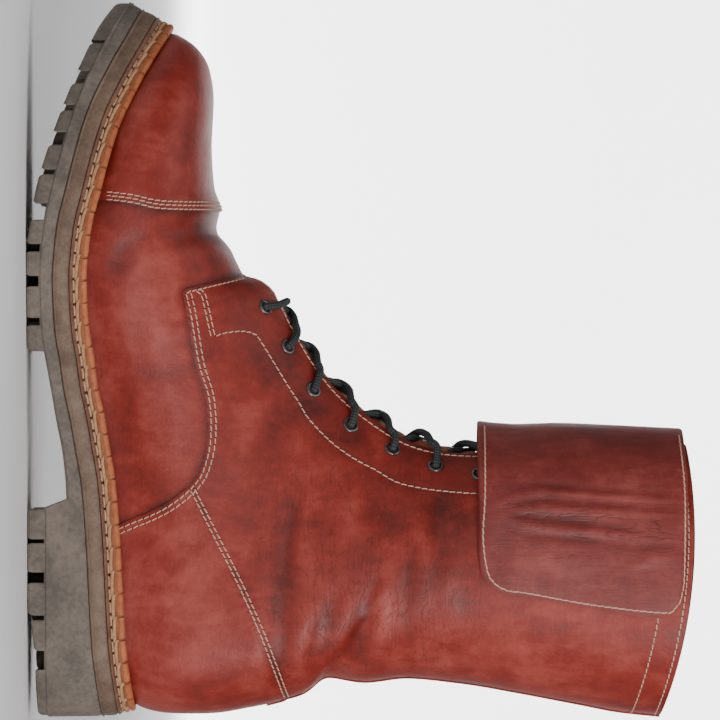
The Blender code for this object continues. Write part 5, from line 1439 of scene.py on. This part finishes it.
def tree_of(*grids):
    """Search tree of the outer faces of finished pieces, in working lengths."""
    verts, faces = [], []
    for obj in grids:
        base = len(verts)
        verts += [(v.co.x + FRAME_X, v.co.y + FRAME_Y, v.co.z) for v in obj.data.vertices]
        faces += [[base + i for i in p.vertices] for p in obj.data.polygons]
    return BVHTree.FromPolygons(verts, faces)


SKIN = tree_of(vamp, toe_cap, quarters)


def hit(origin, direction, tree):
    point, normal, _, _ = tree.ray_cast(Vector(origin), Vector(direction).normalized())
    if point is None:
        return None
    normal = np.array(normal)
    if np.dot(normal, direction) > 0:
        normal = -normal
    return np.array(point), normal


def on_side(line, side, tree=SKIN, lift=0.0001):
    """Line of the side view laid on the surface."""
    out = []
    for x, z in line:
        found = hit((x / 1000, side * 0.2, z / 1000), (0, -side, 0), tree)
        if found:
            out.append(found)
    if len(out) < 2:
        return None
    points = np.array([p + n * lift for p, n in out])
    normals = np.array([n for _, n in out])
    kernel = np.array([1, 2, 3, 2, 1]) / 9
    if len(normals) > 8:
        padded = np.concatenate([normals[:1]] * 2 + [normals] + [normals[-1:]] * 2)
        normals = np.stack([np.convolve(padded[:, c], kernel, "valid") for c in range(3)], axis=1)
    return points, normals


STITCHES = []
HOLES = []


def sew(line, pitch=0.0031, slant=0.10, length=None):
    if line is None:
        return
    STITCHES.extend(evenly(line[0], line[1], pitch, 0.5, slant))
    HOLES.extend(evenly(line[0], line[1], pitch, 0.0, 0.0))


def dense(line, step=1.0):
    """Line of the side view with a point about every millimetre."""
    line = np.asarray(line, float)
    run = np.concatenate([[0], np.cumsum(np.linalg.norm(np.diff(line, axis=0), axis=1))])
    at = np.linspace(0, run[-1], max(2, int(run[-1] / step)))
    return np.stack([np.interp(at, run, line[:, 0]), np.interp(at, run, line[:, 1])], axis=1)


front_line = np.concatenate([quarter_curve, tab_curve[1:]])
for side in (1, -1):
    sew(on_side(dense(quarter_curve), side))
    sew(on_side(dense(parallel(quarter_curve, 2.1)), side))
    sew(on_side(dense(tab_curve), side))
    counter_curve = curve_through(COUNTER_LINE[:-1], 40)
    sew(on_side(dense(parallel(counter_curve, 0.9)), side))
    sew(on_side(dense(parallel(counter_curve, -0.9)), side))
    sew(on_side(dense(curve_through(EYESTAY_ROW, 80)), side))
    sew(on_side(dense(BAR_ROWS), side))
    sew(on_side(dense(parallel(BAR_ROWS, 1.7)), side))

# Row along the edge of the lacing
for side, column in ((1, LACING[0] - 2), (-1, LACING[1] + 2)):
    points = HIGH[THROAT + 1 : -2, column] + NORMAL[THROAT + 1 : -2, column] * 0.0001
    sew((points, NORMAL[THROAT + 1 : -2, column]))

# Rows across the toe cap
for ahead in (0.7, 2.4, 4.0):
    points, normals = [], []
    for a in np.linspace(-118, 118, 150):
        d = np.array([math.sin(math.radians(a)), math.cos(math.radians(a))])
        origin_y, origin_z = -0.005 + d[0] * 0.2, 0.045 + d[1] * 0.2
        found = None
        x = 0.226
        for _ in range(3):
            found = hit((x, origin_y, origin_z), (0, -d[0], -d[1]), SKIN)
            if found is None:
                break
            z_mm = found[0][2] * 1000
            x = (float(np.interp(z_mm, cap_curve[:, 1], cap_curve[:, 0])) + ahead) / 1000
        if found is not None and found[0][2] > 0.034:
            points.append(found[0] + found[1] * 0.0001)
            normals.append(found[1])
    points, normals = np.array(points), np.array(normals)
    straight = (points[:-2] + points[2:]) / 2
    calm = np.concatenate([[True], np.linalg.norm(points[1:-1] - straight, axis=1) < 0.0012, [True]])
    sew((points[calm], normals[calm]))

# Rows around the shaft, below the collar
for drop, first, last in ((0.0022, -1, 1), (0.0125, -1, 1)):
    points, normals = [], []
    for t in np.linspace(0, 1, 200):
        column = int(round(t * (COLS - 1 - (LACING[1] - LACING[0]))))
        j = (column + LACING[1]) % (COLS - 1) if column + LACING[1] >= COLS else column + LACING[1]
        line = HIGH[:, j][::-1]
        run = np.concatenate([[0], np.cumsum(np.linalg.norm(np.diff(line, axis=0), axis=1))])
        p = np.array([np.interp(drop, run, line[:, c]) for c in range(3)])
        nrm = np.array([np.interp(drop, run, NORMAL[:, j][::-1][:, c]) for c in range(3)])
        points.append(p + nrm * 0.0001)
        normals.append(nrm)
    sew((np.array(points), np.array(normals)))

stitches = repeated("seam_stitches", STITCHES, STITCH_TREE, {"Length": 0.0028, "Radius": 0.00031, "Sink": 0.0003}, THREAD)
hole_shadows = repeated("seam_needle_holes", HOLES, HOLE_TREE, {"Radius": 0.00042}, HOLE)

# Row along the edges of the flap
FLAP_ROW = [
    (128.5, 200.8), (98.9, 200.8), (80.0, 199.9), (66.0, 201.6), (60.1, 204.6), (56.6, 210.5), (55.4, 219.3),
    (50.2, 248.5), (46.9, 278.0), (48.6, 283.6), (54.0, 286.8), (63.8, 287.9), (98.9, 288.3), (124.5, 286.4),
]
flap_stitches = []
for side in (1, -1):
    line = on_side(dense(curve_through(FLAP_ROW, 90)), side, FLAP_TREE)
    if line is not None:
        flap_stitches += evenly(line[0], line[1], 0.0031, 0.5, 0.10)
flap_stitch_piece = repeated("flap_stitches", flap_stitches, STITCH_TREE, {"Length": 0.0028, "Radius": 0.00033, "Sink": 0.0003}, THREAD)

# Welt stitches and braid


def ring_places(inset, rise, pitch, facing_mix=(1.0, 0.0), start=0.0):
    """Places round the sole with their directions and outward normals."""
    ring = stack(RING, inset, rise)
    above = stack(RING, inset, rise + 0.001)
    outer_ring = stack(RING, np.asarray(inset) - 0.001, rise)
    up = (above - ring) / 0.001
    out = (outer_ring - ring) / np.linalg.norm(outer_ring - ring, axis=1)[:, None]
    facing = up * facing_mix[0] + out * facing_mix[1]
    points = np.concatenate([ring, ring[:1]])
    facings = np.concatenate([facing, facing[:1]])
    return evenly(points, facings, pitch, start)


welt_places = ring_places(0.0017, 0.00945, 0.0058, (1.0, 0.55), 0.5)
welt_stitches = repeated("welt_stitches", welt_places, WELT_STITCH_TREE, {"Length": 0.0052, "Radius": 0.00050, "Sink": 0.0005}, WELT_THREAD)
welt_hole_shadows = repeated("welt_stitch_holes", ring_places(0.0017, 0.00940, 0.0058, (1.0, 0.55), 0.0), HOLE_TREE, {"Radius": 0.00085}, HOLE)
PITCH = 0.0101
pad_places = ring_places(BRAID_MIDDLE - 0.0001, WELT_TOP + 0.0034, PITCH, (0.45, 1.0), 0.5)
pads = repeated("braid_pads_row", pad_places, PAD_TREE, {"Length": 0.0091, "Width": 0.00165, "Height": 0.0018}, BRAID_LUMPS)
gap_places = ring_places(BRAID_MIDDLE - 0.0006, WELT_TOP + 0.0034, PITCH, (0.45, 1.0), 0.0)
pad_gaps = repeated("braid_gap_shadows", gap_places, HOLE_TREE, {"Radius": 0.0013}, HOLE)
strand_places = ring_places(BRAID_MIDDLE - 0.0010, WELT_TOP + 0.0017, PITCH, (0.45, 1.0), 0.5)
strands = repeated("braid_strand_row", strand_places, STRAND_TREE, {"Pitch": PITCH, "Width": 0.0021, "Height": 0.0012, "Radius": 0.00085}, BRAID_STRANDS)

# Eyelets and lace


def side_place(x, z, side):
    half = FINE[:, : FINE_MIDDLE + 1]
    away = (half[:, :, 0] - x) ** 2 + (half[:, :, 2] - z) ** 2
    i, j = np.unravel_index(np.argmin(away), away.shape)
    if side < 0:
        j = FINE.shape[1] - 1 - j
    return FINE[i, j], FINE_NORMAL[i, j], i


def eyelet_shape(add, maths, size):
    """Rolled flange on a short barrel."""
    middle = add("GeometryNodeCurvePrimitiveCircle", {"mode": "RADIUS"}, {"Resolution": 28, "Radius": size["Radius"]}).outputs[0]
    ring = add("GeometryNodeCurvePrimitiveCircle", {"mode": "RADIUS"}, {"Resolution": 10, "Radius": size["Roll"]}).outputs[0]
    flange = add("GeometryNodeCurveToMesh", {}, {"Curve": middle, "Profile Curve": ring}).outputs[0]
    flat = add("GeometryNodeTransform", {}, {"Geometry": flange, "Scale": (1.0, 1.0, 0.62)}).outputs[0]
    inner = add("GeometryNodeCurvePrimitiveCircle", {"mode": "RADIUS"}, {"Resolution": 28, "Radius": size["Bore"]}).outputs[0]
    down = add("ShaderNodeCombineXYZ", {}, {2: maths("MULTIPLY", size["Depth"], -1.0)}).outputs[0]
    wall = add("GeometryNodeCurvePrimitiveLine", {}, {"Start": (0.0, 0.0, 0.0003), "End": down}).outputs[0]
    thin = add("GeometryNodeTransform", {}, {"Geometry": wall, "Rotation": (0.0, 0.0, 0.0)}).outputs[0]
    rim = add("GeometryNodeCurvePrimitiveCircle", {"mode": "RADIUS"}, {"Resolution": 6, "Radius": 0.00028}).outputs[0]
    lip = add("GeometryNodeCurveToMesh", {}, {"Curve": inner, "Profile Curve": rim}).outputs[0]
    tube_mesh = add("GeometryNodeMeshCylinder", {"fill_type": "NONE"}, {"Vertices": 28, "Radius": size["Bore"], "Depth": size["Depth"]}).outputs[0]
    lower = add("ShaderNodeCombineXYZ", {}, {2: maths("MULTIPLY", size["Depth"], -0.45)}).outputs[0]
    barrel = add("GeometryNodeTransform", {}, {"Geometry": tube_mesh, "Translation": lower}).outputs[0]
    join = add("GeometryNodeJoinGeometry")
    tree = join.id_data
    for part in (flat, lip, barrel):
        tree.links.new(part, join.inputs[0])
    for node in (wall.node, thin.node, down.node):
        tree.nodes.remove(node)
    return join.outputs[0]


EYELET_TREE = axes_tree("lace_eyelets", ("Radius", "Roll", "Bore", "Depth"), eyelet_shape, METAL)
eyelet_spots = {1: [], -1: []}
for along, up in EYELETS:
    for side in (1, -1):
        point, normal, row = side_place(LENGTH * along, HEIGHT * up, side)
        found = hit((LENGTH * along, side * 0.2, HEIGHT * up), (0, -side, 0), SKIN)
        point, normal = (found[0], normal) if found else (point, normal)
        eyelet_spots[side].append((point, normal, row))
eyelet_places = [(p + n * 0.0001, np.cross(n, (0.0, 1.0, 0.0)), n) for side in (1, -1) for p, n, _ in eyelet_spots[side]]
eyelets = repeated("lace_eyelets_row", eyelet_places, EYELET_TREE,
                   {"Radius": 0.00285, "Roll": 0.00085, "Bore": 0.0023, "Depth": 0.0030}, METAL)


def lace_path(k, side, bar=False):
    """Points of the lace from the eyelet over the edge to the far side."""
    point, normal, row = eyelet_spots[side][k]
    gap = gap_at(row)
    ridge_point, _ = from_ridge(row, gap * side)
    reach = float(np.linalg.norm(point - ridge_point))
    inward_dir = ridge_point - point
    inward_dir = inward_dir - normal * np.dot(inward_dir, normal)
    inward_dir /= np.linalg.norm(inward_dir)
    end_row = row if bar else eyelet_spots[side][k - 1][2]
    late = 0.0016 if k >= 5 else 0.0
    path = [point - normal * 0.0050, point - normal * 0.0020, point + normal * 0.0004 + inward_dir * 0.0004]
    if bar:
        over = ((gap + reach * 0.62, 0.0026, 0.0), (gap + reach * 0.25, 0.0029, 0.0), (gap * 0.75, 0.0030, 0.0))
    else:
        over = ((gap + reach * 0.64, 0.0028, 0.08), (gap + reach * 0.30, 0.0031 + late, 0.20), (gap + 0.0010, 0.0027 + late, 0.38),
                (gap * 0.45, 0.0015 + late if side > 0 else -0.0002, 0.60))
    for place_at, high, step in over:
        p, n = from_ridge(row + (end_row - row) * step, place_at * side)
        path.append(p + n * high)
    if bar:
        return path
    for place_at, high, step in ((-gap * 0.3, 0.0006 + late if side > 0 else -0.0008, 0.82), (-(gap - 0.0022), -0.0006, 0.96), (-(gap + 0.0028), -0.0012, 1.04)):
        p, n = from_ridge(row + (end_row - row) * step, place_at * side)
        path.append(p + n * high)
    return path


lace_verts, lace_faces, lace_uv = [], [], []


def add_lace(path, bar=False):
    line = curve_through(path, 80)
    radius = np.full(len(line), LACE_RADIUS)
    if not bar:
        radius[-10:] *= np.linspace(1.0, 0.6, 10)
    verts, faces, uv = tube(line, radius, 14)
    base = len(lace_verts)
    lace_verts.extend(verts)
    lace_faces.extend([[base + i for i in f] for f in faces])
    lace_uv.extend(uv)


bar_points = lace_path(0, 1, True) + lace_path(0, -1, True)[::-1]
add_lace(bar_points, True)
for k in range(1, len(EYELETS)):
    for side in (1, -1):
        add_lace(lace_path(k, side))
lace = piece("lace", np.array(lace_verts), lace_faces, LACE, 0, None, lace_uv)

# Pieces joined to the root body, with the parts of the model hidden
# Faces turned outwards: the leather to the outside, the lining to the inside, each cut edge away from its leather
for obj in [vamp, toe_cap, quarters, lining, back_seam, tongue, insole, flap_edge] + edge_pieces:
    if obj.name != "lacing_edge_outer":
        obj.data.flip_normals()

UPPER_PIECES = [vamp, quarters, lining, back_seam, stitches, hole_shadows] + edge_pieces
for obj in UPPER_PIECES:
    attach(obj, "root")
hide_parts("upper", "counter", "eyestay_outer", "eyestay_inner")
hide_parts("toe_cap")
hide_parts("cuff_flap")
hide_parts("tongue")
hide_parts("midsole")
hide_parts("welt")
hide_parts("welt_braid")
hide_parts("insole")
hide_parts("outsole")
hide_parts(*["eyelet_%s_%d" % (s, k) for s in ("outer", "inner") for k in range(1, 8)])
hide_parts("lace_bar", *["lace_crossing_%d" % k for k in range(1, 7)])
for obj, slot in ((toe_cap, "upper_leather"), (flap, "flap_leather"), (flap_back, "flap_leather"), (flap_edge, "flap_leather"),
                  (flap_stitch_piece, "flap_leather"), (tongue, "tongue_leather"), (midsole, "midsole_leather"),
                  (welt, "welt_leather"), (welt_stitches, "welt_leather"), (welt_hole_shadows, "welt_leather"),
                  (pads, "braid_cord"), (pad_gaps, "braid_cord"), (strands, "braid_cord"), (braid_core, "braid_cord"), (insole, "insole_leather"),
                  (outsole, "rubber"), (eyelets, "eyelet_metal"), (lace, "lace_cord")):
    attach(obj, "root")

# Floor, light and camera
floor_mesh = bpy.data.meshes.new("pale_floor")
reach, depth, tall, bend = 9.0, 8.4, 7.0, 2.2
floor_verts, floor_faces = [], []
profile = [(9.0, 0.0), (-depth + bend, 0.0)]
profile += [(-depth + bend - bend * math.sin(a), bend - bend * math.cos(a)) for a in np.linspace(0.1, math.pi / 2, 12)]
profile += [(-depth, tall)]
for y, z in profile:
    floor_verts += [(-reach, y, z), (reach, y, z)]
for i in range(len(profile) - 1):
    floor_faces.append([2 * i, 2 * i + 1, 2 * i + 3, 2 * i + 2][::-1])
floor_mesh.from_pydata(floor_verts, [], floor_faces)
floor_mesh.polygons.foreach_set("use_smooth", [True] * len(floor_faces))
floor = bpy.data.objects.new("pale_floor", floor_mesh)
bpy.context.scene.collection.objects.link(floor)
f = Finish("pale_studio_floor")
tint = f.noise(f.object_place(), 3.0, 2.0)
floor_mesh.materials.append(f.set(Base_Color=f.blend(tint, (0.90, 0.90, 0.90), (0.94, 0.94, 0.94)), Roughness=0.9))

world = bpy.data.worlds.new("studio")
bpy.context.scene.world = world
world.use_nodes = True
world.node_tree.nodes["Background"].inputs[0].default_value = (1.0, 1.0, 1.0, 1.0)
world.node_tree.nodes["Background"].inputs[1].default_value = 0.16


def soft_light(name, at, target, size, power):
    data = bpy.data.lights.new(name, "AREA")
    data.shape = "RECTANGLE"
    data.size, data.size_y = size
    data.energy = power
    obj = bpy.data.objects.new(name, data)
    bpy.context.scene.collection.objects.link(obj)
    obj.location = at
    obj.rotation_euler = (Vector(target) - Vector(at)).to_track_quat("-Z", "Y").to_euler()
    return obj


soft_light("key", (-1.05, 1.75, 0.55), (0.0, 0.0, 0.10), (0.7, 0.7), 28)
soft_light("top", (0.3, 0.5, 2.2), (0.0, 0.0, 0.1), (2.0, 2.0), 17)
soft_light("side", (0.45, 2.4, 0.30), (0.05, 0.0, 0.12), (1.6, 1.2), 9)
backdrop = bpy.data.lights.new("backdrop", "SPOT")
backdrop.energy, backdrop.spot_size, backdrop.spot_blend, backdrop.shadow_soft_size = 2600, math.radians(110), 0.9, 0.4
backdrop_lamp = bpy.data.objects.new("backdrop", backdrop)
bpy.context.scene.collection.objects.link(backdrop_lamp)
backdrop_lamp.location = (0.0, -4.8, 3.4)
backdrop_lamp.rotation_euler = (Vector((0.0, -6.9, 0.1)) - Vector((0.0, -4.8, 3.4))).to_track_quat("-Z", "Y").to_euler()
soft_light("floor_wash", (0.0, -4.2, 2.2), (0.0, -4.4, 0.0), (2.6, 2.6), 80)

DISTANCE = 5.0
camera_data = bpy.data.cameras.new("camera")
camera_data.sensor_width = 36.0
camera_data.lens = 36.0 * DISTANCE / 0.3177
camera = bpy.data.objects.new("camera", camera_data)
bpy.context.scene.collection.objects.link(camera)
camera.matrix_world = Matrix((
    (0.0, 1.0, 0.0, -0.0005), (0.0, 0.0, 1.0, DISTANCE), (1.0, 0.0, 0.0, 0.146), (0.0, 0.0, 0.0, 1.0),
))
bpy.context.scene.camera = camera
